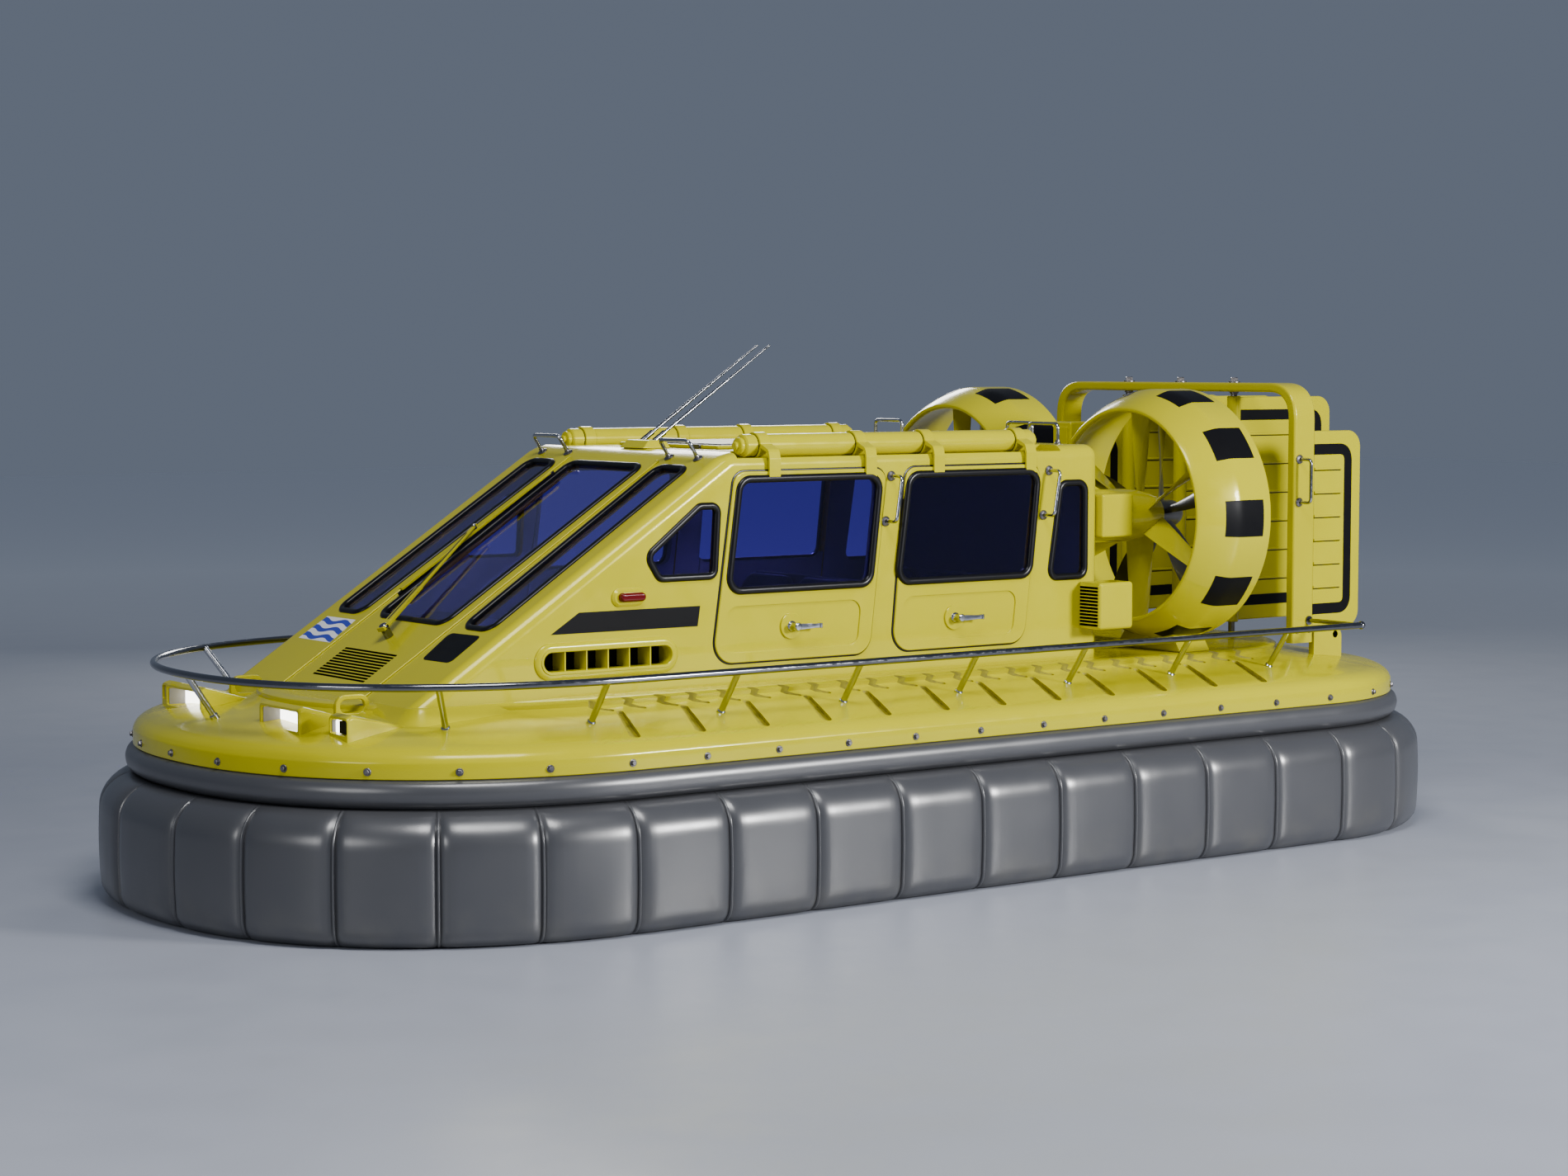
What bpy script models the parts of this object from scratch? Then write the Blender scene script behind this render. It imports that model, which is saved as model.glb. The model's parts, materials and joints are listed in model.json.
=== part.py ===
# A twin-ducted passenger hovercraft, resting on its inflated skirt.
# Metres, +X to the bow, +Y to port, +Z up, origin on the floor below the middle of the hull.
import math

import bmesh
import bpy
from mathutils import Matrix, Vector

# Gap between pieces that touch
SEAT = 0.0003

# Plan form of the rim, a straight-sided hull with a rounded bow and large stern corners
RIM_HALF_LENGTH = 4.185
RIM_HALF_WIDTH = 1.815
BOW_DEPTH = 1.90
BOW_EXPONENT = 2.25
STERN_RADIUS = 1.35
OUTLINE_POINTS = 72

# Heights of the hull
HULL_BOTTOM_Z = 0.50
RIM_BOTTOM_Z = 0.854
RIM_TOP_Z = 0.935
DECK_EDGE_Z = 1.030
DECK_INNER_Z = 1.112
PLATEAU_Z = 1.165
CABIN_FLOOR_Z = 0.72
WELL_FRONT_X = 2.30
WELL_HALF_WIDTH = 0.98
ENGINE_FLOOR_Z = 0.60
BAY_FRONT_X = -1.87
BAY_REAR_X = -2.98
BAY_HALF_WIDTH = 0.46
HATCH_TOP_Z = 1.190
SKID_Y = 0.72
SKID_BOTTOM_Z = 0.38

# Lamp cowls on the foredeck: x of the mouth, y, width, height, length of the cowl and its tail
LAMP_COWLS = ((3.84, 0.58, 0.46, 0.190, 0.50), (3.72, 1.01, 0.20, 0.165, 0.46))
COWL_FOOT_Z = 1.00
COWL_WALL = 0.018
EYE_X = 3.43
EYE_Y = 0.62
LUG_Y = 1.12

# Skirt
SKIRT_OVERHANG_BOW = 0.20
SKIRT_OVERHANG_SIDE = 0.16
SEGMENT_TOP_Z = 0.700
BOW_SEAM = 0.34
BOW_PITCH = 0.55
BOW_SEGMENTS = 5
SIDE_SEGMENTS = 14
SEAM_DEPTH = 0.030
SEAM_HALF_WIDTH = 0.030

# Cabin
CABIN_HALF_WIDTH = 1.05
WALL = 0.050
ROOF_WALL = 0.075
ROOF_Z = 2.48
REAR_WALL_X = -1.56
SCREEN_FOOT = Vector((2.71, 0.0, 1.54))
SCREEN_SLOPE = math.atan2(0.852, 1.322)
EDGE_RADIUS = 0.08
PANEL_SPLIT_Y = 0.90
PANE_RADIUS = 0.07
SIDE_WINDOW_RADIUS = 0.05
DOOR_WINDOW_RADIUS = 0.075

# Reach of tools that cut right through the cabin
BEYOND_Y = 1.2
BEYOND_TOP_Z = 2.6
CUT_DEPTH = 0.30

# Side vents, each a bezel round a row of cells
VENT_FRONT_X = 2.57
VENT_REAR_X = 1.72
VENT_LOW_Z = 1.295
VENT_HIGH_Z = 1.475
VENT_CELLS = 6

# Roof tubes, which are also the hinge axes of the gull-wing doors
TUBE_Y = 0.912
TUBE_Z = 2.511
TUBE_RADIUS = 0.066
TUBE_SIDES = 24
TUBE_FRONT_X = 1.125
TUBE_REAR_X = -1.134
LEDGE_Z = TUBE_Z - TUBE_RADIUS - SEAT
LEDGE_Y = TUBE_Y - TUBE_RADIUS - 0.001
CLAMP_WIDTH = 0.078
CLAMP_RADIUS = 0.078

# Doors: a slab proud of the side laps over the opening, and a block behind it fills the opening
DOOR_TOP_Z = 2.370
DOOR_SILL_Z = 1.290
DOOR_LAP = 0.012
DOOR_GAP = 0.010
DOOR_FACE_Y = 1.066
OPENING_TOP_RADIUS = 0.050
BLOCK_TOP_RADIUS = 0.110
DOOR_SWEEP_RADIUS = 0.213
CLAMP_GAP = 0.006
GLASS = 0.006
GLASS_DEPTH = 0.012

# Wiper on the windscreen's plane: distance to port, distance up the slope
WIPER_BOSS = (0.0, -0.167)
WIPER_PIN = (-0.37, 0.797)

# Ducts and propellers
DUCT_Y = 0.88
DUCT_Z = 2.027
DUCT_FRONT_X = -1.905
DUCT_REAR_X = -2.420
DUCT_RADIUS = 0.79
BORE_FRONT = [(0.645, -1.925), (0.680, -2.000), (0.715, -2.150), (0.735, -2.270)]
BORE_REAR_RADIUS = 0.765
NACELLE_RADIUS = 0.165
NACELLE_REAR_X = -2.160
VANES = 6
BLADES = 5
BLADE_TIP = 0.690
PROPELLER_X = -2.235
HUB_RADIUS = 0.085

# Arch, rudders and side fins
ARCH_X = -3.240
ARCH_CHORD = 0.190
ARCH_HALF_WIDTH = 1.160
ARCH_TOP_Z = 2.850
ARCH_POST = 0.070
ARCH_BEAM = 0.060
ARCH_EDGE_RADIUS = 0.018
RUDDER_PITCH = 0.508
RUDDER_BOTTOM_Z = 1.270
RUDDER_TOP_Z = 2.755
RUDDER_REAR_X = -4.130
RUDDER_THICKNESS = 0.050
FIN_REAR_X = -3.770
FIN_BOTTOM_Z = 1.250
FIN_TOP_Z = 2.540

# Handrail
RAIL_HALF_WIDTH = 1.62
RAIL_FRONT_X = 4.09
RAIL_REAR_X = -3.29
RAIL_BOW_DEPTH = 1.87
RAIL_BEND = 0.10
RAIL_Z = 1.310
RAIL_RADIUS = 0.021
STANCHION_RADIUS = 0.016
STANCHION_PITCH = 0.846
STANCHION_FIRST_X = 2.445
STANCHION_FOOT_Y = 1.45

YELLOW = (0.95, 0.86, 0.02)
PARTS = None


def clear_scene():
    for obj in list(bpy.data.objects):
        bpy.data.objects.remove(obj)


def material(name, color, roughness, metallic=0.0, alpha=1.0):
    """A Principled material, made once and shared by name."""
    found = bpy.data.materials.get(name)
    if found:
        return found
    made = bpy.data.materials.new(name)
    made.use_nodes = True
    shader = made.node_tree.nodes["Principled BSDF"]
    shader.inputs["Base Color"].default_value = (*color, 1.0)
    shader.inputs["Roughness"].default_value = roughness
    shader.inputs["Metallic"].default_value = metallic
    shader.inputs["Alpha"].default_value = alpha
    return made


def gelcoat():
    return material("yellow_gelcoat", YELLOW, 0.25)


def skirt_rubber():
    return material("skirt_rubber", (0.075, 0.077, 0.085), 0.45)


def tinted_glass():
    return material("tinted_glass", (0.03, 0.03, 0.16), 0.05, alpha=0.45)


def polished_steel():
    return material("polished_steel", (0.55, 0.56, 0.58), 0.15, metallic=1.0)


def dark_resin():
    return material("dark_resin", (0.03, 0.03, 0.03), 0.4)


def seat_vinyl():
    return material("seat_vinyl", (0.05, 0.05, 0.07), 0.6)


# Helpers for meshes


def turns(count):
    """Angles evenly spaced round a circle."""
    return [2 * math.pi * i / count for i in range(count)]


def object_from_bmesh(name, bm, finish):
    mesh = bpy.data.meshes.new(name)
    bmesh.ops.recalc_face_normals(bm, faces=bm.faces)
    bm.to_mesh(mesh)
    bm.free()
    mesh.materials.append(finish)
    obj = bpy.data.objects.new(name, mesh)
    PARTS.objects.link(obj)
    return obj


def evaluated_mesh(obj):
    bpy.context.view_layer.update()
    graph = bpy.context.evaluated_depsgraph_get()
    return bpy.data.meshes.new_from_object(obj.evaluated_get(graph))


def welded(mesh):
    """Joins the corners that a curve's caps or a cut leave side by side."""
    bm = bmesh.new()
    bm.from_mesh(mesh)
    bmesh.ops.remove_doubles(bm, verts=bm.verts, dist=0.00001)
    bmesh.ops.dissolve_degenerate(bm, edges=bm.edges, dist=0.00001)
    bm.to_mesh(mesh)
    closed = all(edge.is_manifold for edge in bm.edges)
    bm.free()
    return closed


def bake(obj):
    """Replaces an object's mesh, or its curve, by what its modifiers make of it."""
    mesh = evaluated_mesh(obj)
    name, matrix = obj.name, obj.matrix_world.copy()
    bpy.data.objects.remove(obj)
    mesh.transform(matrix)
    welded(mesh)
    baked = bpy.data.objects.new(name, mesh)
    PARTS.objects.link(baked)
    return baked


def combine(obj, tool, operation):
    """Joins, cuts or intersects obj with a closed tool, and uses the tool up."""
    modifier = obj.modifiers.new(operation.title(), "BOOLEAN")
    modifier.operation = operation
    modifier.object = tool
    # The few cuts that leave a sliver open are made with the other solver
    if not welded(evaluated_mesh(obj)):
        modifier.solver = "MANIFOLD"
    obj = bake(obj)
    bpy.data.objects.remove(tool)
    return obj


def cut(obj, *tools):
    for tool in tools:
        obj = combine(obj, tool, "DIFFERENCE")
    return obj


def join(obj, *tools):
    for tool in tools:
        obj = combine(obj, tool, "UNION")
    return obj


def duplicate(obj, name):
    copy = bpy.data.objects.new(name, obj.data.copy())
    PARTS.objects.link(copy)
    return copy


def mirrored(obj, name):
    """The same piece on the other side of the centreline."""
    copy = duplicate(obj, name)
    copy.data.transform(Matrix.Scale(-1.0, 4, (0.0, 1.0, 0.0)))
    copy.data.flip_normals()
    copy.location = (obj.location.x, -obj.location.y, obj.location.z)
    return copy


def set_origin(obj, point):
    """Puts a moving piece's origin on its joint axis."""
    shift = Vector(point)
    obj.data.transform(Matrix.Translation(-shift))
    obj.location = shift
    return obj


def box(name, low, high, finish=None):
    bm = bmesh.new()
    centre = (Vector(low) + Vector(high)) / 2
    size = Vector(high) - Vector(low)
    bmesh.ops.create_cube(bm, size=1.0, matrix=Matrix.Translation(centre) @ Matrix.Diagonal((*size, 1.0)))
    return object_from_bmesh(name, bm, finish or gelcoat())


def rod(name, start, end, radius, sides=16, finish=None, end_radius=None):
    """A round bar between two points, tapered where it has an end radius."""
    start, end = Vector(start), Vector(end)
    direction = end - start
    turn = direction.to_track_quat("Z", "Y").to_matrix().to_4x4()
    far_radius = radius if end_radius is None else end_radius
    bm = bmesh.new()
    bmesh.ops.create_cone(
        bm, cap_ends=True, segments=sides, radius1=radius, radius2=far_radius,
        depth=direction.length, matrix=Matrix.Translation((start + end) / 2) @ turn)
    return object_from_bmesh(name, bm, finish or gelcoat())


def hull_of(name, points, finish=None):
    """The convex solid around a few corners."""
    bm = bmesh.new()
    for point in points:
        bm.verts.new(point)
    bmesh.ops.convex_hull(bm, input=bm.verts)
    loose = [vert for vert in bm.verts if not vert.link_faces]
    bmesh.ops.delete(bm, geom=loose, context="VERTS")
    return object_from_bmesh(name, bm, finish or gelcoat())


def tube(name, points, radius, finish, sides_level=2, cyclic=False):
    """A bent tube along a list of points."""
    curve = bpy.data.curves.new(name, "CURVE")
    curve.dimensions = "3D"
    curve.bevel_depth = radius
    curve.bevel_resolution = sides_level
    curve.use_fill_caps = True
    spline = curve.splines.new("POLY")
    spline.points.add(len(points) - 1)
    for point, place in zip(spline.points, points):
        point.co = (*place, 1.0)
    spline.use_cyclic_u = cyclic
    curve.materials.append(finish)
    obj = bpy.data.objects.new(name, curve)
    PARTS.objects.link(obj)
    return bake(obj)


def plate(name, outline, thickness, matrix, finish=None):
    """A flat outline with a thickness, centred on the plane that matrix gives."""
    curve = bpy.data.curves.new(name, "CURVE")
    curve.dimensions = "2D"
    curve.fill_mode = "BOTH"
    curve.extrude = thickness / 2
    spline = curve.splines.new("POLY")
    spline.points.add(len(outline) - 1)
    for point, place in zip(spline.points, outline):
        point.co = (place[0], place[1], 0.0, 1.0)
    spline.use_cyclic_u = True
    curve.materials.append(finish or gelcoat())
    obj = bpy.data.objects.new(name, curve)
    obj.matrix_world = matrix
    PARTS.objects.link(obj)
    return bake(obj)


def turned(name, profile, steps, matrix, finish):
    """A profile of radius and height, down its outer side first, turned about local Z."""
    mesh = bpy.data.meshes.new(name)
    count = len(profile)
    edges = [(i, (i + 1) % count) for i in range(count)]
    mesh.from_pydata([(radius, 0.0, height) for radius, height in profile], edges, [])
    mesh.materials.append(finish)
    obj = bpy.data.objects.new(name, mesh)
    obj.matrix_world = matrix
    PARTS.objects.link(obj)
    screw = obj.modifiers.new("Turn", "SCREW")
    screw.steps = screw.render_steps = steps
    screw.use_merge_vertices = True
    screw.merge_threshold = 0.0001
    obj = bake(obj)
    bm = bmesh.new()
    bm.from_mesh(obj.data)
    bmesh.ops.recalc_face_normals(bm, faces=bm.faces)
    bm.to_mesh(obj.data)
    bm.free()
    return obj


def rounded(corners, radius, steps=3):
    """An outline with its corners rounded; a corner may carry its own radius as a third number."""
    points = []
    count = len(corners)
    for i, corner in enumerate(corners):
        before = Vector(corners[i - 1][:2])
        here = Vector(corner[:2])
        after = Vector(corners[(i + 1) % count][:2])
        size = corner[2] if len(corner) > 2 else radius
        to_before = (before - here).normalized()
        to_after = (after - here).normalized()
        half = to_before.angle(to_after) / 2
        reach = size / math.tan(half)
        centre = here + (to_before + to_after).normalized() * (size / math.sin(half))
        start = here + to_before * reach - centre
        end = here + to_after * reach - centre
        sweep = start.angle_signed(end)
        for step in range(steps + 1):
            turn = Matrix.Rotation(-sweep * step / steps, 2)
            points.append(centre + turn @ start)
    return points


def grown(corners, amount):
    """The outline of a convex corner list moved outwards by an amount."""
    middle = sum((Vector(corner[:2]) for corner in corners), Vector((0.0, 0.0))) / len(corners)
    lines = []
    for i, corner in enumerate(corners):
        here, after = Vector(corner[:2]), Vector(corners[(i + 1) % len(corners)][:2])
        normal = Vector((after.y - here.y, here.x - after.x)).normalized()
        if normal.dot(here - middle) < 0:
            normal.negate()
        lines.append((here + normal * amount, (after - here).normalized()))
    moved = []
    for i in range(len(corners)):
        point_a, along_a = lines[i - 1]
        point_b, along_b = lines[i]
        cross = along_a.x * along_b.y - along_a.y * along_b.x
        gap = point_b - point_a
        reach = (gap.x * along_b.y - gap.y * along_b.x) / cross
        place = point_a + along_a * reach
        extra = (corners[i][2] + amount,) if len(corners[i]) > 2 else ()
        moved.append((place.x, place.y, *extra))
    return moved


# Frames in which flat outlines are drawn


def side_plane(y):
    """Outlines given as (x, z), standing at this y."""
    return Matrix(((1, 0, 0, 0), (0, 0, -1, y), (0, 1, 0, 0), (0, 0, 0, 1)))


def cross_plane(x):
    """Outlines given as (y, z), standing at this x."""
    return Matrix(((0, 0, 1, x), (1, 0, 0, 0), (0, 1, 0, 0), (0, 0, 0, 1)))


def screen_plane(lift=0.0):
    """Outlines given as (y, distance up the slope), lifted off the windscreen's surface."""
    across = Vector((0.0, 1.0, 0.0))
    up = Vector((-math.cos(SCREEN_SLOPE), 0.0, math.sin(SCREEN_SLOPE)))
    out = across.cross(up)
    place = SCREEN_FOOT + out * lift
    return Matrix((
        (across.x, up.x, out.x, place.x),
        (across.y, up.y, out.y, place.y),
        (across.z, up.z, out.z, place.z),
        (0.0, 0.0, 0.0, 1.0)))


def on_screen(y, up, lift=0.0):
    return screen_plane() @ Vector((y, up, lift))


AXLE = Matrix.Rotation(math.pi / 2, 4, "Y")


# Plan outlines


def half_outline(front, rear, half_width, bow_depth, stern_radius):
    """Closely spaced points down the port side, from the bow's middle to the stern's."""
    steps = 60
    points = []
    for step in range(steps + 1):
        angle = math.pi / 2 * step / steps
        x = front - bow_depth + bow_depth * math.cos(angle) ** (2 / BOW_EXPONENT)
        y = half_width * math.sin(angle) ** (2 / BOW_EXPONENT)
        points.append(Vector((x, y)))
    centre = Vector((rear + stern_radius, half_width - stern_radius))
    for step in range(steps + 1):
        angle = math.pi / 2 * (1 + step / steps)
        points.append(centre + stern_radius * Vector((math.cos(angle), math.sin(angle))))
    points.append(Vector((rear, 0.0)))
    return points


class Outline:
    """A closed plan outline that can be walked by its share of the way round."""

    def __init__(self, front, rear, half_width, bow_depth, stern_radius):
        port = half_outline(front, rear, half_width, bow_depth, stern_radius)
        starboard = [Vector((point.x, -point.y)) for point in reversed(port[1:-1])]
        self.points = port + starboard
        self.reach = [0.0]
        for i in range(len(self.points)):
            step = self.points[(i + 1) % len(self.points)] - self.points[i]
            self.reach.append(self.reach[-1] + step.length)
        self.length = self.reach[-1]

    def at(self, share, offset=0.0):
        """The point at this share of the way round, moved outwards by an offset."""
        want = (share % 1.0) * self.length
        low, high = 0, len(self.points)
        while high - low > 1:
            middle = (low + high) // 2
            if self.reach[middle] <= want:
                low = middle
            else:
                high = middle
        here = self.points[low]
        after = self.points[(low + 1) % len(self.points)]
        part = (want - self.reach[low]) / (self.reach[low + 1] - self.reach[low])
        along = (after - here).normalized()
        return here.lerp(after, part) + Vector((along.y, -along.x)) * offset

    def normal(self, share):
        """Outward direction, from the chord between two nearby points."""
        along = self.at(share + 0.002) - self.at(share - 0.002)
        along.normalize()
        return Vector((along.y, -along.x))


def rim_outline(inset=0.0, bow_inset=None, stern_inset=None):
    bow = inset if bow_inset is None else bow_inset
    stern = inset if stern_inset is None else stern_inset
    return Outline(
        RIM_HALF_LENGTH - bow, -RIM_HALF_LENGTH + stern, RIM_HALF_WIDTH - inset,
        BOW_DEPTH - 0.5 * inset, max(STERN_RADIUS - 0.6 * inset, 0.4))


def skirt_outline():
    return Outline(
        RIM_HALF_LENGTH + SKIRT_OVERHANG_BOW, -RIM_HALF_LENGTH - SKIRT_OVERHANG_BOW,
        RIM_HALF_WIDTH + SKIRT_OVERHANG_SIDE, BOW_DEPTH + SKIRT_OVERHANG_BOW,
        STERN_RADIUS + SKIRT_OVERHANG_SIDE)


def stacked(name, loops, finish):
    """A solid from closed loops of equal length, listed from the bottom to the top."""
    bm = bmesh.new()
    rows = [[bm.verts.new(point) for point in loop] for loop in loops]
    count = len(rows[0])
    for lower, upper in zip(rows, rows[1:]):
        for i in range(count):
            j = (i + 1) % count
            bm.faces.new((lower[i], lower[j], upper[j], upper[i]))
    bm.faces.new(list(reversed(rows[0])))
    bm.faces.new(rows[-1])
    return object_from_bmesh(name, bm, finish)


def belt(name, stations, finish):
    """A closed ring from closed section loops, one at each station."""
    bm = bmesh.new()
    rows = [[bm.verts.new(point) for point in station] for station in stations]
    count = len(rows[0])
    for i, row in enumerate(rows):
        after = rows[(i + 1) % len(rows)]
        for k in range(count):
            m = (k + 1) % count
            bm.faces.new((row[k], row[m], after[m], after[k]))
    return object_from_bmesh(name, bm, finish)


# Skirt


def seam_places(length):
    """Distances along the outline, from the bow's middle: shorter segments round the bow."""
    port = [BOW_SEAM + BOW_PITCH * step for step in range(BOW_SEGMENTS + 1)]
    pitch = (length / 2 - port[-1]) / SIDE_SEGMENTS
    port += [port[-1] + pitch * step for step in range(1, SIDE_SEGMENTS)]
    starboard = [length - place for place in reversed(port)]
    return port + [length / 2] + starboard


def make_skirt_segments():
    """Inflated bags side by side, with a narrow rounded seam between each two."""
    outline = skirt_outline()
    # Columns: distance outwards from the outline, height, share of the seam's depth felt there
    section = [
        (-0.200, SEGMENT_TOP_Z, 0.0), (-0.130, 0.693, 0.4), (-0.060, 0.652, 0.8), (-0.015, 0.580, 1.0),
        (0.000, 0.500, 1.0), (0.000, 0.130, 1.0), (-0.020, 0.055, 1.0), (-0.075, 0.000, 0.6),
        (-0.210, 0.000, 0.0), (-0.330, 0.060, 0.0), (-0.320, 0.400, 0.0), (-0.260, 0.660, 0.0)]
    seams = seam_places(outline.length)
    stations = []
    for seam, following in zip(seams, seams[1:] + [seams[0] + outline.length]):
        # Columns: place along the outline, depth below the full form
        spots = [(seam, SEAM_DEPTH), (seam + SEAM_HALF_WIDTH, 0.006), ((seam + following) / 2, 0.0),
                 (following - SEAM_HALF_WIDTH, 0.006)]
        for along, depth in spots:
            share = along / outline.length
            place, normal = outline.at(share), outline.normal(share)
            ring = []
            for offset, height, felt in section:
                spot = place + normal * (offset - depth * felt)
                ring.append((spot.x, spot.y, height))
            stations.append(ring)
    return belt("skirt_segments", stations, skirt_rubber())


def make_skirt_band():
    """The soft roll between the rim and the segments."""
    outline = rim_outline()
    top, bottom = RIM_BOTTOM_Z - SEAT, SEGMENT_TOP_Z + SEAT
    # Columns: distance outwards from the rim, height
    section = [
        (-0.100, top), (-0.012, top), (0.032, 0.825), (0.044, 0.780), (0.028, 0.730),
        (-0.010, bottom), (-0.030, bottom), (-0.100, 0.730)]
    stations = []
    for i in range(OUTLINE_POINTS):
        share = i / OUTLINE_POINTS
        place, normal = outline.at(share), outline.normal(share)
        spots = [place + normal * offset for offset, height in section]
        stations.append([(spot.x, spot.y, height) for spot, (offset, height) in zip(spots, section)])
    return belt("skirt_band", stations, skirt_rubber())


# Hull


def hull_loops(raise_by=0.0):
    """Loops of the hull from its bottom to the plateau that carries the cabin."""
    # Columns: inset at the sides, inset at the bow, inset at the stern, height
    rows = [
        (0.600, 0.700, 0.700, HULL_BOTTOM_Z),
        (0.105, 0.105, 0.105, RIM_BOTTOM_Z),
        (0.000, 0.000, 0.000, RIM_BOTTOM_Z),
        (0.000, 0.000, 0.000, RIM_TOP_Z),
        (0.018, 0.018, 0.018, 0.975),
        (0.060, 0.060, 0.060, 1.008),
        (0.130, 0.130, 0.130, DECK_EDGE_Z),
        (0.365, 0.300, 0.365, 1.073),
        (0.590, 0.620, 0.640, DECK_INNER_Z),
        (0.620, 0.700, 0.680, 1.145),
        (0.660, 0.900, 0.735, PLATEAU_Z)]
    loops = []
    for side, bow, stern, height in rows:
        outline = rim_outline(side, bow, stern)
        ring = [outline.at(i / OUTLINE_POINTS) for i in range(OUTLINE_POINTS)]
        loops.append([(point.x, point.y, height + raise_by) for point in ring])
    return loops


def lamp_housing(x, y, width, height, length):
    """A cowl with a square mouth at the front and a tail that runs down into the deck."""
    top = COWL_FOOT_Z + height
    front = [(x, y + side * width / 2, z) for side in (-1, 1) for z in (COWL_FOOT_Z, top - 0.02)]
    brow = [(x - 0.03, y + side * (width / 2 - 0.02), top) for side in (-1, 1)]
    tail_heights = (COWL_FOOT_Z, COWL_FOOT_Z + 0.06)
    tail = [(x - length, y + side * width * 0.22, z) for side in (-1, 1) for z in tail_heights]
    half_mouth = width / 2 - COWL_WALL
    mouth = box(
        "mouth", (x - 0.07, y - half_mouth, COWL_FOOT_Z + 0.05),
        (x + 0.05, y + half_mouth, top - 0.035))
    return cut(hull_of("cowl", front + brow + tail), mouth)


def mooring_eye(x, y):
    """A ring of bar, half sunk in the deck."""
    middle_z = PLATEAU_Z - 0.02
    ring = [(x + 0.09 * math.cos(a), y, middle_z + 0.065 * math.sin(a)) for a in turns(16)]
    return tube("eye", ring, 0.015, gelcoat(), 1, cyclic=True)


def stern_lug(y):
    """An upright plate with a hole for a line."""
    half, top = 0.025, FIN_BOTTOM_Z - SEAT
    lug = box("lug", (-3.62, y - half, 1.02), (-3.36, y + half, top))
    return cut(lug, rod("hole", (-3.56, y - 0.1, 1.205), (-3.56, y + 0.1, 1.205), 0.022))


def make_hull():
    hull = stacked("hull_and_deck", hull_loops(), gelcoat())
    above = PLATEAU_Z + 0.1
    well = box(
        "well", (REAR_WALL_X + 0.06, -WELL_HALF_WIDTH, CABIN_FLOOR_Z),
        (WELL_FRONT_X, WELL_HALF_WIDTH, above))
    engine_bay = box(
        "bay", (BAY_REAR_X, -BAY_HALF_WIDTH, ENGINE_FLOOR_Z), (BAY_FRONT_X, BAY_HALF_WIDTH, above))
    hull = cut(hull, well, engine_bay)
    for x, y, width, height, length in LAMP_COWLS:
        for side in (-1, 1):
            hull = join(hull, lamp_housing(x, side * y, width, height, length))
    for side in (-1, 1):
        hull = join(hull, mooring_eye(EYE_X, side * EYE_Y), stern_lug(side * LUG_Y))
    hull.name = "hull_and_deck"


def make_engine():
    """The engine in its bay, and the hatch that closes the bay."""
    grey = material("engine_grey", (0.2, 0.2, 0.21), 0.5)
    box("engine_block", (-2.90, -0.42, ENGINE_FLOOR_Z + SEAT), (-1.95, 0.42, 1.08), grey)
    box("engine_hatch", (-3.02, -0.50, PLATEAU_Z + SEAT), (-1.83, 0.50, HATCH_TOP_Z))


def make_skids():
    """Two keels that the hull stands on when the skirt is off, narrower and shorter at the bottom."""
    # Columns: height, half width, half length
    levels = ((HULL_BOTTOM_Z - SEAT, 0.09, 2.70), (SKID_BOTTOM_Z, 0.06, 2.45))
    for name, side in (("landing_skid_port", 1), ("landing_skid_starboard", -1)):
        points = [(end * half_length, side * SKID_Y + edge * half_width, z)
                  for z, half_width, half_length in levels for end in (-1, 1) for edge in (-1, 1)]
        hull_of(name, points, dark_resin())


# Cabin


def cabin_section(offset_roof, offset_wall, foot_z):
    """Side outline of the cabin, moved inwards by wall thicknesses."""
    slope = math.tan(SCREEN_SLOPE)
    shift = offset_wall / math.sin(SCREEN_SLOPE)
    roof = ROOF_Z - offset_roof
    foot_x = SCREEN_FOOT.x + (SCREEN_FOOT.z - foot_z) / slope - shift
    crease_x = SCREEN_FOOT.x - (roof - SCREEN_FOOT.z) / slope - shift
    rear_x = REAR_WALL_X + offset_wall
    return [(foot_x, foot_z), (crease_x, roof), (rear_x, roof), (rear_x, foot_z)]


def cabin_solid(name, section, half_width, radius):
    """A closed block of the cabin's side outline, its long edges and rear corners rounded."""
    bm = bmesh.new()
    sides = [[bm.verts.new((x, side * half_width, z)) for x, z in section] for side in (-1, 1)]
    bm.faces.new(sides[0])
    bm.faces.new(list(reversed(sides[1])))
    for i in range(4):
        j = (i + 1) % 4
        bm.faces.new((sides[0][i], sides[1][i], sides[1][j], sides[0][j]))
    bmesh.ops.recalc_face_normals(bm, faces=bm.faces)
    low = min(z for x, z in section)
    soft = [edge for edge in bm.edges if not all(abs(vert.co.z - low) < 0.001 for vert in edge.verts)]
    bmesh.ops.bevel(
        bm, geom=soft, offset=radius, offset_type="OFFSET", segments=3, profile=0.5, affect="EDGES")
    return object_from_bmesh(name, bm, gelcoat())


# Side openings, port side: corners as (x, z), each with an optional radius
DOORS = {
    "front": [
        (0.26, DOOR_SILL_Z, 0.12), (1.38, DOOR_SILL_Z, 0.12),
        (1.223, DOOR_TOP_Z, 0.08), (0.129, DOOR_TOP_Z, 0.08)],
    "rear": [
        (-0.93, DOOR_SILL_Z, 0.12), (0.09, DOOR_SILL_Z, 0.12),
        (-0.012, DOOR_TOP_Z, 0.08), (-1.062, DOOR_TOP_Z, 0.08)]}
DOOR_WINDOWS = {
    "front": [(0.262, 1.70), (1.272, 1.70), (1.187, 2.325), (0.185, 2.325)],
    "rear": [(-0.965, 1.70), (0.050, 1.70), (-0.040, 2.325), (-1.035, 2.325)]}
DOOR_STRAPS = {"front": (0.955, 0.259), "rear": (-0.251, -0.969)}
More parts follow.
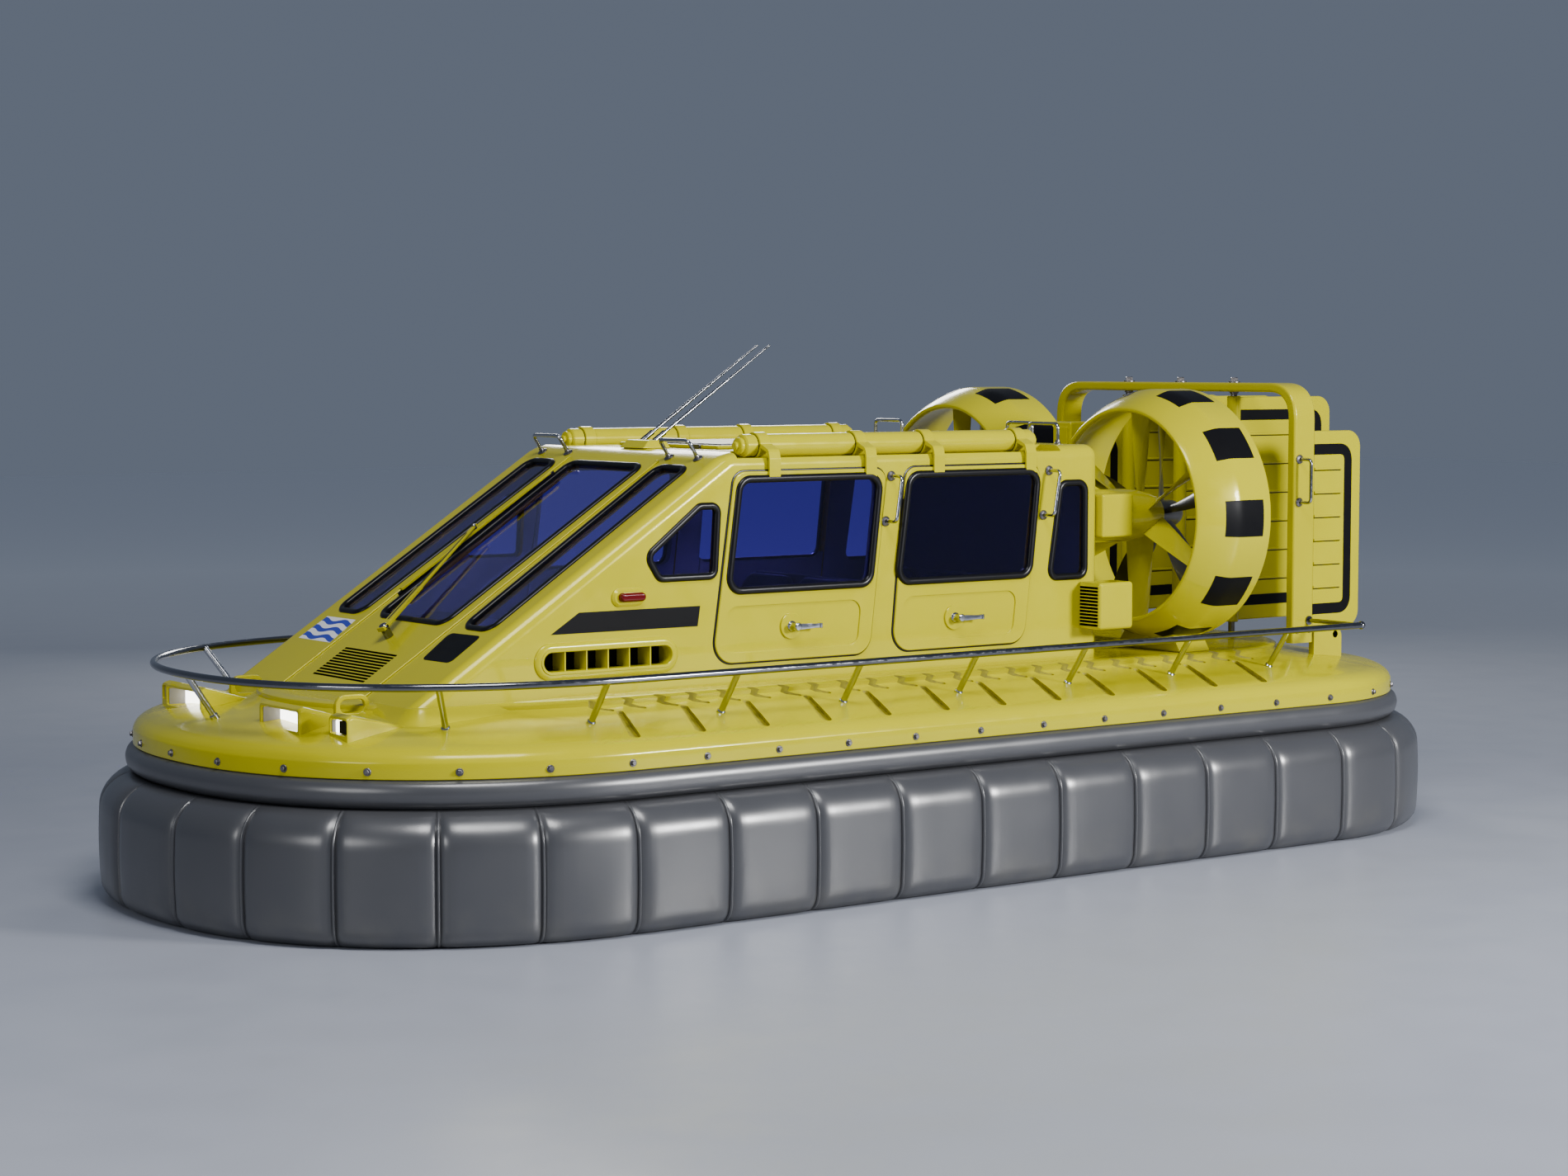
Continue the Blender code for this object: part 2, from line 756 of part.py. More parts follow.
NOSE_WINDOW = [
    (1.36, 1.79, 0.04), (1.73, 1.79, 0.05), (1.81, 1.915, 0.05), (1.46, 2.18, 0.05), (1.335, 2.18, 0.04)]
REAR_WINDOW = [(-1.43, 1.675), (-1.145, 1.675), (-1.236, 2.245), (-1.43, 2.245)]

# Windscreen panes: corners as (y, distance up the slope)
PANES = {
    "centre": [(-0.365, 0.00), (0.365, 0.00), (0.38, 1.565), (-0.38, 1.565)],
    "side": [(0.59, 0.00), (0.86, 0.00), (0.84, 1.565), (0.55, 1.565)]}


def panel_region(name, outline, low_y, high_y):
    return plate(name, outline, high_y - low_y, side_plane((low_y + high_y) / 2))


def clamp_groove(x, y):
    """A short hollow under a door clamp, in the ledge that carries the roof tube."""
    half = CLAMP_WIDTH / 2 + CLAMP_GAP
    return rod("groove", (x - half, y, TUBE_Z), (x + half, y, TUBE_Z), CLAMP_RADIUS + CLAMP_GAP, 20)


def make_cabin():
    """A rounded shell with a wall, parted into nose, roof, rear wall and two sides."""
    section = cabin_section(0.0, 0.0, PLATEAU_Z + SEAT)
    shell = cabin_solid("shell", section, CABIN_HALF_WIDTH, EDGE_RADIUS)
    section = cabin_section(ROOF_WALL, WALL, PLATEAU_Z - 0.2)
    shell = cut(shell, cabin_solid("void", section, CABIN_HALF_WIDTH - WALL, 0.04))
    for side in (-1, 1):
        low_y, high_y = sorted((side * LEDGE_Y, side * BEYOND_Y))
        shell = cut(shell, box("ledge", (-1.24, low_y, LEDGE_Z), (1.19, high_y, BEYOND_TOP_Z)))
        for x in (x for pair in DOOR_STRAPS.values() for x in pair):
            shell = cut(shell, clamp_groove(x, side * TUBE_Y))
    split_foot, split_top = Vector((1.43, 1.0)), Vector((1.265, BEYOND_TOP_Z))
    wall_front_x = REAR_WALL_X + 0.06
    gap = Vector((SEAT, 0))
    aft_of_split = [split_foot, split_top, (wall_front_x, BEYOND_TOP_Z), (wall_front_x, 1.0)]
    ahead_of_split = [split_foot + gap, (3.6, 1.0), (3.6, BEYOND_TOP_Z), split_top + gap]

    nose = duplicate(shell, "cabin_nose")
    make_nose(combine(nose, panel_region("region", ahead_of_split, -BEYOND_Y, BEYOND_Y), "INTERSECT"))

    roof = duplicate(shell, "cabin_roof")
    half = PANEL_SPLIT_Y - SEAT
    combine(roof, panel_region("region", aft_of_split, -half, half), "INTERSECT").name = "cabin_roof"

    rear = duplicate(shell, "cabin_rear_wall")
    region = box(
        "region", (REAR_WALL_X - 0.1, -BEYOND_Y, 1.0), (wall_front_x - SEAT, BEYOND_Y, BEYOND_TOP_Z))
    combine(rear, region, "INTERSECT").name = "cabin_rear_wall"

    region = panel_region("region", aft_of_split, PANEL_SPLIT_Y, BEYOND_Y)
    make_side_and_doors(combine(shell, region, "INTERSECT"))


def make_nose(nose):
    """Windscreen frame, bonnet and front side panels in one moulding."""
    for label, pane, side in (("centre", "centre", 1), ("port", "side", 1), ("starboard", "side", -1)):
        corners = [(side * y, up) for y, up in PANES[pane]]
        nose = cut(nose, plate("pane_cut", rounded(corners, PANE_RADIUS), CUT_DEPTH, screen_plane()))
        outline = rounded(grown(corners, -SEAT), PANE_RADIUS)
        plate("windscreen_" + label, outline, GLASS, screen_plane(-GLASS_DEPTH), tinted_glass())
    for side, label in ((1, "port"), (-1, "starboard")):
        glass_plane = side_plane(side * (CABIN_HALF_WIDTH - GLASS_DEPTH))
        outline = rounded(NOSE_WINDOW, SIDE_WINDOW_RADIUS)
        nose = cut(nose, plate("nose_cut", outline, CUT_DEPTH, glass_plane))
        outline = rounded(grown(NOSE_WINDOW, -SEAT), SIDE_WINDOW_RADIUS)
        plate("nose_window_" + label, outline, GLASS, glass_plane, tinted_glass())
        nose = make_side_vent(nose, side)
    make_bonnet_grille(nose).name = "cabin_nose"


def make_side_vent(nose, side):
    """An oblong bezel with a row of open cells between its dividers."""
    face = side * CABIN_HALF_WIDTH
    corners = [
        (VENT_REAR_X, VENT_LOW_Z), (VENT_FRONT_X, VENT_LOW_Z),
        (VENT_FRONT_X, VENT_HIGH_Z), (VENT_REAR_X, VENT_HIGH_Z)]
    nose = join(nose, plate("bezel", rounded(corners, 0.085, 4), 0.05, side_plane(face)))
    margin, divider = 0.06, 0.012
    pitch = (VENT_FRONT_X - VENT_REAR_X - 2 * margin) / VENT_CELLS
    low_y, high_y = sorted((face - side * 0.04, face + side * 0.1))
    for cell in range(VENT_CELLS):
        start = VENT_REAR_X + margin + cell * pitch
        low = (start + divider / 2, low_y, VENT_LOW_Z + 0.04)
        high = (start + pitch - divider / 2, high_y, VENT_HIGH_Z - 0.04)
        nose = cut(nose, box("cell", low, high))
    return nose


def make_bonnet_grille(nose):
    """Slots across the middle of the bonnet."""
    slots = 11
    low, high, half_width = -0.560, -0.295, 0.295
    pitch = (high - low) / slots
    for slot in range(slots):
        start = low + slot * pitch
        end = start + pitch * 0.55
        strip = [(-half_width, start), (half_width, start), (half_width, end), (-half_width, end)]
        nose = cut(nose, plate("slot", strip, 0.05, screen_plane()))
    return nose


def make_side_and_doors(frame):
    """The port side frame with its two doors, and both mirrored to starboard."""
    wall_plane = side_plane(CABIN_HALF_WIDTH - WALL / 2)
    for name in DOORS:
        blank = duplicate(frame, "door_blank")
        outline = rounded(door_outline(name, DOOR_LAP + DOOR_GAP, BLOCK_TOP_RADIUS), 0.1)
        block = combine(blank, plate("door_cut", outline, CUT_DEPTH, wall_plane), "INTERSECT")
        outline = rounded(door_outline(name, DOOR_LAP, OPENING_TOP_RADIUS), 0.1)
        frame = cut(frame, plate("opening", outline, CUT_DEPTH, wall_plane))
        make_door(block, name)
    outline = rounded(REAR_WINDOW, SIDE_WINDOW_RADIUS)
    frame = cut(frame, plate("rear_cut", outline, CUT_DEPTH, wall_plane))
    frame.name = "cabin_side_port"
    mirrored(frame, "cabin_side_starboard")
    outline = rounded(grown(REAR_WINDOW, -SEAT), SIDE_WINDOW_RADIUS)
    for side, label in ((1, "port"), (-1, "starboard")):
        glass_plane = side_plane(side * (CABIN_HALF_WIDTH - GLASS_DEPTH))
        plate("rear_window_" + label, outline, GLASS, glass_plane, tinted_glass())


def door_outline(name, inset, top_radius):
    """A door's outline made smaller all round, with its own radius at the two upper corners."""
    corners = grown(DOORS[name], -inset)
    return [(x, z, top_radius if z > DOOR_TOP_Z - 0.1 else radius) for x, z, radius in corners]


def door_strap(x):
    """A clamp round the roof tube with an arm down to the top of the door."""
    half = CLAMP_WIDTH / 2
    # The flats of the bore stand over the tube's edges, so the clamp turns freely
    bore = (TUBE_RADIUS + SEAT) / math.cos(math.pi / TUBE_SIDES)
    half_step = Matrix.Rotation(math.pi / TUBE_SIDES, 4, "X")
    profile = [(CLAMP_RADIUS, half), (CLAMP_RADIUS, -half), (bore, -half), (bore, half)]
    place = Matrix.Translation((x, TUBE_Y, TUBE_Z)) @ half_step @ AXLE
    ring = turned("clamp", profile, TUBE_SIDES, place, gelcoat())
    root_y = TUBE_Y + CLAMP_RADIUS - 0.004
    inner, outer, sunk = DOOR_FACE_Y + 0.002, DOOR_FACE_Y + 0.014, DOOR_FACE_Y - 0.006
    foot_z, inner_top_z = 2.315, 2.362
    arm = [
        (root_y, TUBE_Z + 0.014), (outer, 2.466), (outer, foot_z), (sunk, foot_z),
        (sunk, inner_top_z), (inner, inner_top_z), (inner, 2.452), (root_y, TUBE_Z - 0.002)]
    return join(ring, plate("arm", arm, CLAMP_WIDTH, cross_plane(x)))


def door_sweep(radius):
    """The round space above a door that its block has to leave free."""
    return rod("sweep", (-2.0, TUBE_Y, TUBE_Z), (2.0, TUBE_Y, TUBE_Z), radius, 48)


def make_door(block, name):
    """The slab, the block behind it, the clamps and the window, port side and starboard."""
    block = cut(block, door_sweep(DOOR_SWEEP_RADIUS))
    back_y = CABIN_HALF_WIDTH + SEAT
    slab = plate(
        "slab", rounded(DOORS[name], 0.1), DOOR_FACE_Y - back_y, side_plane((DOOR_FACE_Y + back_y) / 2))
    # The web joins the slab to the block, whose faces would otherwise part by the gap to the frame
    web_outline = rounded(door_outline(name, DOOR_LAP + DOOR_GAP + 0.004, BLOCK_TOP_RADIUS), 0.1)
    web = plate("web", web_outline, 0.012, side_plane(CABIN_HALF_WIDTH + 0.002))
    web = cut(web, door_sweep(DOOR_SWEEP_RADIUS + 0.004))
    door = join(block, web, slab)
    window = DOOR_WINDOWS[name]
    outline = rounded(window, DOOR_WINDOW_RADIUS)
    door = cut(door, plate("window_cut", outline, CUT_DEPTH, side_plane(CABIN_HALF_WIDTH - WALL / 2)))
    for x in DOOR_STRAPS[name]:
        door = join(door, door_strap(x))
    door.name = "door_" + name + "_port"
    outline = rounded(grown(window, -SEAT), DOOR_WINDOW_RADIUS)
    glass = plate(
        "door_glass_" + name + "_port", outline, GLASS, side_plane(DOOR_FACE_Y - GLASS_DEPTH),
        tinted_glass())
    hinge = (sum(DOOR_STRAPS[name]) / 2, TUBE_Y, TUBE_Z)
    for piece in (door, glass):
        set_origin(piece, hinge)
        mirrored(piece, piece.name.replace("port", "starboard"))


def make_roof_tubes():
    """Round tubes with tapered ends."""
    half, middle = (TUBE_FRONT_X - TUBE_REAR_X) / 2, (TUBE_FRONT_X + TUBE_REAR_X) / 2
    end_radius, taper = 0.045, 0.05
    profile = [
        (end_radius, half), (TUBE_RADIUS, half - taper), (TUBE_RADIUS, taper - half), (end_radius, -half)]
    for name, side in (("roof_tube_port", 1), ("roof_tube_starboard", -1)):
        centre = Vector((middle, side * TUBE_Y, TUBE_Z))
        loops = []
        for radius, x in profile:
            loops.append([centre + Vector((x, radius * math.cos(a), radius * math.sin(a)))
                          for a in turns(TUBE_SIDES)])
        stacked(name, loops, gelcoat())


def make_roof_fittings():
    top = ROOF_Z + SEAT
    hatches = box("roof_hatches", (-0.06, -0.30, top), (0.06, 0.30, top + 0.020), dark_resin())
    for x in (0.50, -0.50):
        hatch = box("hatch", (x - 0.46, -0.52, top), (x + 0.46, 0.52, top + 0.030), dark_resin())
        hatches = join(hatches, hatch)
    hatches.name = "roof_hatches"
    base = hull_of(
        "antenna_set", [(x, y, z) for x in (1.02, 1.22) for y in (-0.13, 0.13) for z in (top, top + 0.05)])
    for side in (-1, 1):
        foot = Vector((1.10, side * 0.063, top + 0.045))
        tip = Vector((0.25, side * 0.063, 3.090))
        base = join(base, rod("whip", foot, tip, 0.009, 8, end_radius=0.004))
    base.name = "antenna_set"


def make_interior():
    """Dashboard and seats, which show through the glass."""
    floor = CABIN_FLOOR_Z + SEAT
    section = ((2.28, floor), (2.28, 1.45), (2.05, 1.50), (1.90, 1.35), (2.05, floor))
    hull_of("dashboard", [(x, y, z) for x, z in section for y in (-0.90, 0.90)], dark_resin())
    back_section = ((-0.24, 0.40), (-0.12, 0.40), (-0.28, 0.95), (-0.36, 0.95))
    for name, x in (("seats_front", 1.05), ("seats_middle", 0.05), ("seats_rear", -0.95)):
        base = box(name, (x - 0.25, -0.85, floor), (x + 0.25, 0.85, floor + 0.42), seat_vinyl())
        points = [(x + dx, y, floor + z) for dx, z in back_section for y in (-0.83, 0.83)]
        join(base, hull_of("back", points, seat_vinyl())).name = name


def upright_bar(y, middle, half_width, half_length):
    """Corners of a narrow bar on the windscreen's plane, along its slope."""
    return [(y + across * half_width, middle + up * half_length)
            for across, up in ((-1, -1), (1, -1), (1, 1), (-1, 1))]


def make_wiper():
    """An arm from a boss on the centreline, and a blade that hangs on its end and stays upright."""
    steel = polished_steel()
    arm = rod("boss", on_screen(*WIPER_BOSS, SEAT), on_screen(*WIPER_BOSS, 0.085), 0.032, 16, steel)
    bar = rod("bar", on_screen(*WIPER_BOSS, 0.070), on_screen(*WIPER_PIN, 0.070), 0.012, 10, steel)
    # The pin ends just over the blade's spine
    pin = rod("pin", on_screen(*WIPER_PIN, 0.051 + SEAT), on_screen(*WIPER_PIN, 0.084), 0.018, 12, steel)
    arm = join(arm, bar, pin)
    arm.name = "wiper_arm"
    set_origin(arm, on_screen(*WIPER_BOSS))
    spine = upright_bar(*WIPER_PIN, 0.020, 0.60)
    lip = upright_bar(*WIPER_PIN, 0.005, 0.63)
    blade = plate("spine", spine, 0.022, screen_plane(0.040), dark_resin())
    blade = join(blade, plate("lip", lip, 0.030, screen_plane(0.018), dark_resin()))
    blade.name = "wiper_blade"
    set_origin(blade, on_screen(*WIPER_PIN))


def make_intake_boxes():
    for name, side in (("intake_box_port", 1), ("intake_box_starboard", -1)):
        inner, outer = side * (CABIN_HALF_WIDTH + SEAT), side * 1.25
        low_y, high_y = sorted((inner, outer))
        body = box(name, (-1.66, low_y, 1.35), (-1.38, high_y, 1.64))
        slots = 12
        for slot in range(slots):
            z = 1.375 + slot * 0.0205
            body = cut(body, box("slot", (-1.41, low_y + 0.02, z), (-1.30, high_y - 0.02, z + 0.011)))
        body.name = name


# Ducts


def duct_profile():
    """Radius and x from the lip back along the outside, then forward along the bore."""
    return [
        (0.652, DUCT_FRONT_X), (0.676, -1.900), (0.735, -2.010), (0.778, -2.120), (DUCT_RADIUS, -2.160),
        (DUCT_RADIUS, DUCT_REAR_X), (BORE_REAR_RADIUS, DUCT_REAR_X), *reversed(BORE_FRONT)]


def bore_tool(place):
    """A solid that fills the duct's bore and reaches out of both ends."""
    front_x, rear_x, core = -1.80, -2.60, 0.001
    profile = [
        (core, front_x), (BORE_FRONT[0][0], front_x), *BORE_FRONT, (BORE_REAR_RADIUS, DUCT_REAR_X),
        (BORE_REAR_RADIUS, rear_x), (core, rear_x)]
    middle = place.translation
    axis_rod = rod("core", middle + Vector((-1.7, 0, 0)), middle + Vector((-2.7, 0, 0)), 0.01)
    return join(turned("bore", profile, 48, place, gelcoat()), axis_rod)


def make_ducts():
    """Each duct with its foot, nacelle, fairing and vanes in one moulding."""
    for label, side in (("port", 1), ("starboard", -1)):
        centre = Vector((0.0, side * DUCT_Y, DUCT_Z))
        place = Matrix.Translation(centre) @ AXLE
        duct = turned("ring", duct_profile(), 48, place, gelcoat())
        foot = box("foot", (-2.40, centre.y - 0.36, PLATEAU_Z + SEAT), (-2.12, centre.y + 0.36, 1.45))
        front_x = REAR_WALL_X - SEAT
        front, rear = centre + Vector((front_x, 0, 0)), centre + Vector((NACELLE_REAR_X, 0, 0))
        nacelle = rod("nacelle", front, rear, NACELLE_RADIUS, 24)
        fairing = box(
            "fairing", (-1.80, centre.y - 0.19, DUCT_Z - 0.10), (front_x, centre.y + 0.19, DUCT_Z + 0.10))
        duct = join(duct, cut(foot, bore_tool(place)), nacelle, fairing)
        for angle in turns(VANES):
            vane = box("vane", (-2.13, -0.012, 0.10), (-2.00, 0.012, 0.705))
            vane.data.transform(Matrix.Translation(centre) @ Matrix.Rotation(angle, 4, "X"))
            duct = join(duct, vane)
        duct.name = "duct_" + label
        make_propeller(label, centre)


def blade_section(radius, chord, pitch, thickness):
    """Six corners round a blade's section at one radius."""
    shape = [(-0.5, 0.0), (-0.2, 0.5), (0.2, 0.45), (0.5, 0.0), (0.2, -0.3), (-0.2, -0.35)]
    points = []
    for along, across in shape:
        y = chord * along * math.cos(pitch) - thickness * across * math.sin(pitch)
        x = chord * along * math.sin(pitch) + thickness * across * math.cos(pitch)
        points.append((x, y, radius))
    return points


def make_propeller(label, centre):
    """A hub with a spinner and five twisted blades."""
    finish = dark_resin()
    middle = centre + Vector((PROPELLER_X, 0, 0))
    hub_front = centre + Vector((NACELLE_REAR_X - SEAT, 0, 0))
    hub = rod("hub", hub_front, middle + Vector((-0.07, 0, 0)), HUB_RADIUS, 20, finish)
    spinner = rod(
        "spinner", middle + Vector((-0.06, 0, 0)), middle + Vector((-0.16, 0, 0)), HUB_RADIUS, 20,
        finish, end_radius=0.03)
    hub = join(hub, spinner)
    # Columns: radius, chord, pitch in degrees, thickness
    stations = [
        (0.05, 0.07, 60, 0.05), (0.20, 0.13, 48, 0.030), (0.45, 0.16, 30, 0.020),
        (BLADE_TIP, 0.12, 22, 0.012)]
    loops = [blade_section(radius, chord, math.radians(pitch), thick)
             for radius, chord, pitch, thick in stations]
    for angle in turns(BLADES):
        blade = stacked("blade", loops, finish)
        blade.data.transform(Matrix.Translation(middle) @ Matrix.Rotation(angle, 4, "X"))
        hub = join(hub, blade)
    hub.name = "propeller_" + label
    set_origin(hub, middle)


def make_duct_bridge():
    """The pylon that stands between the two ducts."""
    half = DUCT_Y - DUCT_RADIUS - SEAT
    box("duct_bridge", (-2.40, -half, HATCH_TOP_Z + SEAT), (-2.17, half, 2.60))


# Arch, fins and rudders


def make_arch():
    outer, inner = ARCH_HALF_WIDTH, ARCH_HALF_WIDTH - ARCH_POST
    foot = PLATEAU_Z + SEAT
    beam = ARCH_TOP_Z - ARCH_BEAM
    tip = 0.003
    corners = [
        (-outer, foot, tip), (-outer, ARCH_TOP_Z, 0.24), (outer, ARCH_TOP_Z, 0.24), (outer, foot, tip),
        (inner, foot, tip), (inner, beam, 0.18), (-inner, beam, 0.18), (-inner, foot, tip)]
    arch = plate("arch", rounded(corners, tip, 5), ARCH_CHORD, cross_plane(ARCH_X))
    edges = arch.modifiers.new("Edges", "BEVEL")
    edges.width = ARCH_EDGE_RADIUS
    edges.segments = 2
    edges.limit_method = "ANGLE"
    edges.angle_limit = math.radians(60)


def make_fins():
    front = ARCH_X - ARCH_CHORD / 2 - SEAT
    corners = [
        (FIN_REAR_X, FIN_BOTTOM_Z, 0.10), (front, FIN_BOTTOM_Z, 0.01), (front, FIN_TOP_Z, 0.01),
        (FIN_REAR_X, FIN_TOP_Z, 0.10)]
    fin_y = ARCH_HALF_WIDTH - ARCH_POST / 2
    for name, side in (("side_fin_port", 1), ("side_fin_starboard", -1)):
        plate(name, rounded(corners, 0.05), RUDDER_THICKNESS, side_plane(side * fin_y))


def make_rudders():
    """Flat panels on round posts, each on a stock that reaches from the hull to the arch's beam."""
    corners = [
        (RUDDER_REAR_X, RUDDER_BOTTOM_Z, 0.10), (ARCH_X, RUDDER_BOTTOM_Z, 0.01), (ARCH_X, RUDDER_TOP_Z, 0.01),
        (RUDDER_REAR_X, RUDDER_TOP_Z, 0.10)]
    foot_z, head_z = PLATEAU_Z + SEAT, ARCH_TOP_Z - ARCH_BEAM - SEAT
    post_foot_z, post_head_z = RUDDER_BOTTOM_Z - 0.01, RUDDER_TOP_Z + 0.005
    places = {"rudder_port": RUDDER_PITCH, "rudder_centre": 0.0, "rudder_starboard": -RUDDER_PITCH}
    for name, y in places.items():
        panel = plate(name, rounded(corners, 0.05), RUDDER_THICKNESS, side_plane(y))
        post = rod("post", (ARCH_X, y, post_foot_z), (ARCH_X, y, post_head_z), 0.045, 20)
        stock = rod("stock", (ARCH_X, y, foot_z), (ARCH_X, y, head_z), 0.022, 16)
        panel = join(panel, post, stock)
        panel.name = name
        set_origin(panel, (ARCH_X, y, RUDDER_BOTTOM_Z))


# Handrail


def rail_path():
    """Round the bow and down both sides, then inboard to the arch's posts."""
    bow_start_x, bend_x = RAIL_FRONT_X - RAIL_BOW_DEPTH, RAIL_REAR_X + RAIL_BEND
    outline = half_outline(RAIL_FRONT_X, RAIL_REAR_X - 0.5, RAIL_HALF_WIDTH, RAIL_BOW_DEPTH, 0.4)
    port = [(point.x, point.y) for point in outline if point.x > bow_start_x + 0.001][::4]
    port += [(bow_start_x, RAIL_HALF_WIDTH), (bend_x, RAIL_HALF_WIDTH)]
    for step in range(1, 5):
        angle = math.pi / 2 * step / 4
        across = RAIL_HALF_WIDTH - RAIL_BEND + RAIL_BEND * math.cos(angle)
        port.append((bend_x - RAIL_BEND * math.sin(angle), across))
    port.append((RAIL_REAR_X, ARCH_HALF_WIDTH + SEAT))
    starboard = [(x, -y) for x, y in reversed(port[1:])]
    return [(x, y, RAIL_Z) for x, y in starboard + port]


def make_handrail():
    """The rail on leaning stanchions, whose feet are cut to the deck's form."""
    rail = tube("handrail", rail_path(), RAIL_RADIUS, polished_steel(), 2)
    # Columns: foot x, foot y, top x, top y
    spots = [(3.93, 0.0, RAIL_FRONT_X, 0.0)]
    for side in (-1, 1):
        spots.append((3.20, side * 1.22, 3.325, side * 1.365))
        for i in range(7):
            x = STANCHION_FIRST_X - i * STANCHION_PITCH
            spots.append((x, side * STANCHION_FOOT_Y, x, side * RAIL_HALF_WIDTH))
    for foot_x, foot_y, top_x, top_y in spots:
        foot, top = Vector((foot_x, foot_y, 1.06)), Vector((top_x, top_y, RAIL_Z))
        foot = foot + (foot - top).normalized() * 0.06
        rail = join(rail, rod("stanchion", foot, top, STANCHION_RADIUS, 10, polished_steel()))
    rail = cut(rail, stacked("deck_cut", hull_loops(SEAT), gelcoat()))
    rail.name = "handrail"


def shade_round_pieces():
    """Round stretches shade smooth, and edges stay sharp."""
    for obj in PARTS.objects:
        obj.data.shade_smooth()
        obj.data.set_sharp_from_angle(angle=math.radians(35))


def build():
    global PARTS
    clear_scene()
    PARTS = bpy.data.collections.new("hovercraft")
    bpy.context.scene.collection.children.link(PARTS)
    make_skirt_segments()
    make_skirt_band()
    make_hull()
    make_engine()
    make_skids()
    make_cabin()
    make_roof_tubes()
    make_roof_fittings()
    make_interior()
    make_wiper()
    make_intake_boxes()
    make_ducts()
    make_duct_bridge()
    make_arch()
    make_fins()
    make_rudders()
    make_handrail()
    shade_round_pieces()


build()
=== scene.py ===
# %% [markdown]
# # Dressing a small passenger hovercraft
# The solids of the craft come in as a fixed frame: a skirt, a hull, a cabin with four gull-wing doors, two
# ducted propellers, rudders, an arch and a handrail. They are plain, and this notebook gives them their looks.
# Each cell makes one piece or one finish. A piece rides on the body that carries it, so that it moves with it,
# and the plain solid it stands for is hidden.

import bpy
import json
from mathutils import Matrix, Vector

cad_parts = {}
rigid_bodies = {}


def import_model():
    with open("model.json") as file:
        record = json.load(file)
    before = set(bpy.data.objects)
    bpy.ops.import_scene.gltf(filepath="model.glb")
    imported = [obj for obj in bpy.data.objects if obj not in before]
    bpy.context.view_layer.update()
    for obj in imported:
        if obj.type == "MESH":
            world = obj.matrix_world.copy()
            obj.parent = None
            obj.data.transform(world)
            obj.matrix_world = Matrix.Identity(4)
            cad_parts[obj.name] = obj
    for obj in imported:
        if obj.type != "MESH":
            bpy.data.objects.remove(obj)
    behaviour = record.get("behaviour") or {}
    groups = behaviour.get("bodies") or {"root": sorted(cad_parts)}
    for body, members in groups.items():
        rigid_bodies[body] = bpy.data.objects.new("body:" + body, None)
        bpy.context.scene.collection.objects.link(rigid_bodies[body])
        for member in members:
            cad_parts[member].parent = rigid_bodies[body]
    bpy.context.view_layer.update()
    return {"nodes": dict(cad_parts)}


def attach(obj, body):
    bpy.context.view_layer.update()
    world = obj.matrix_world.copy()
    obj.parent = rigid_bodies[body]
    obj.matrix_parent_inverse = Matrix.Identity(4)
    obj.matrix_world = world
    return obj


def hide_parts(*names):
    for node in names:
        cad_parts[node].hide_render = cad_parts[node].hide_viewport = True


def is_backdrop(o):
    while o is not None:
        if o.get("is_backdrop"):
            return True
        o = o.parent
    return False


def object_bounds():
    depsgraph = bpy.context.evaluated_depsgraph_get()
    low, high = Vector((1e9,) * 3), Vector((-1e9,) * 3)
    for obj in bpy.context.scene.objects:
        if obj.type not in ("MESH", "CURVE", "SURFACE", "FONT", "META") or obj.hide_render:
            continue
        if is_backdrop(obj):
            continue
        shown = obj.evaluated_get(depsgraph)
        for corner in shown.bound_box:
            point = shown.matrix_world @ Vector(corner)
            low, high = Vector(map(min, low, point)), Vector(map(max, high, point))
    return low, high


for obj in list(bpy.data.objects):
    bpy.data.objects.remove(obj)
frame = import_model()

import bisect
import json
import math

import bmesh
from mathutils import Matrix, Vector

# %% [markdown]
# ## Finishes
# A finish is a Principled shader with a few procedural textures. Textures read the object's own coordinates,
# which are metres here, so a noise of scale 400 has grains of a few millimetres. Constants that are the same
# all over, such as the coat, are set on the shader's own sockets.

# %% Helpers for finishes
def noise(tree, scale, detail=2.0):
    """Noise in the object's own metres."""
    place = tree.nodes.new("ShaderNodeTexCoord")
    texture = tree.nodes.new("ShaderNodeTexNoise")
    texture.inputs["Scale"].default_value = scale
    texture.inputs["Detail"].default_value = detail
    tree.links.new(place.outputs["Object"], texture.inputs["Vector"])
    return texture.outputs["Fac"]


def spread(tree, source, low, high, start=0.35, end=0.65):
    """A texture's middle values spread over a range."""
    made = tree.nodes.new("ShaderNodeMapRange")
    for socket, value in (("From Min", start), ("From Max", end), ("To Min", low), ("To Max", high)):
        made.inputs[socket].default_value = value
    tree.links.new(source, made.inputs["Value"])
    return made.outputs["Result"]


def blend_colors(tree, factor, first, second):
    """One colour where a factor is 0, another where it is 1."""
    mix = tree.nodes.new("ShaderNodeMix")
    mix.data_type = "RGBA"
    mix.inputs["A"].default_value = (*first, 1.0)
    mix.inputs["B"].default_value = (*second, 1.0)
    tree.links.new(factor, mix.inputs["Factor"])
    return mix.outputs["Result"]


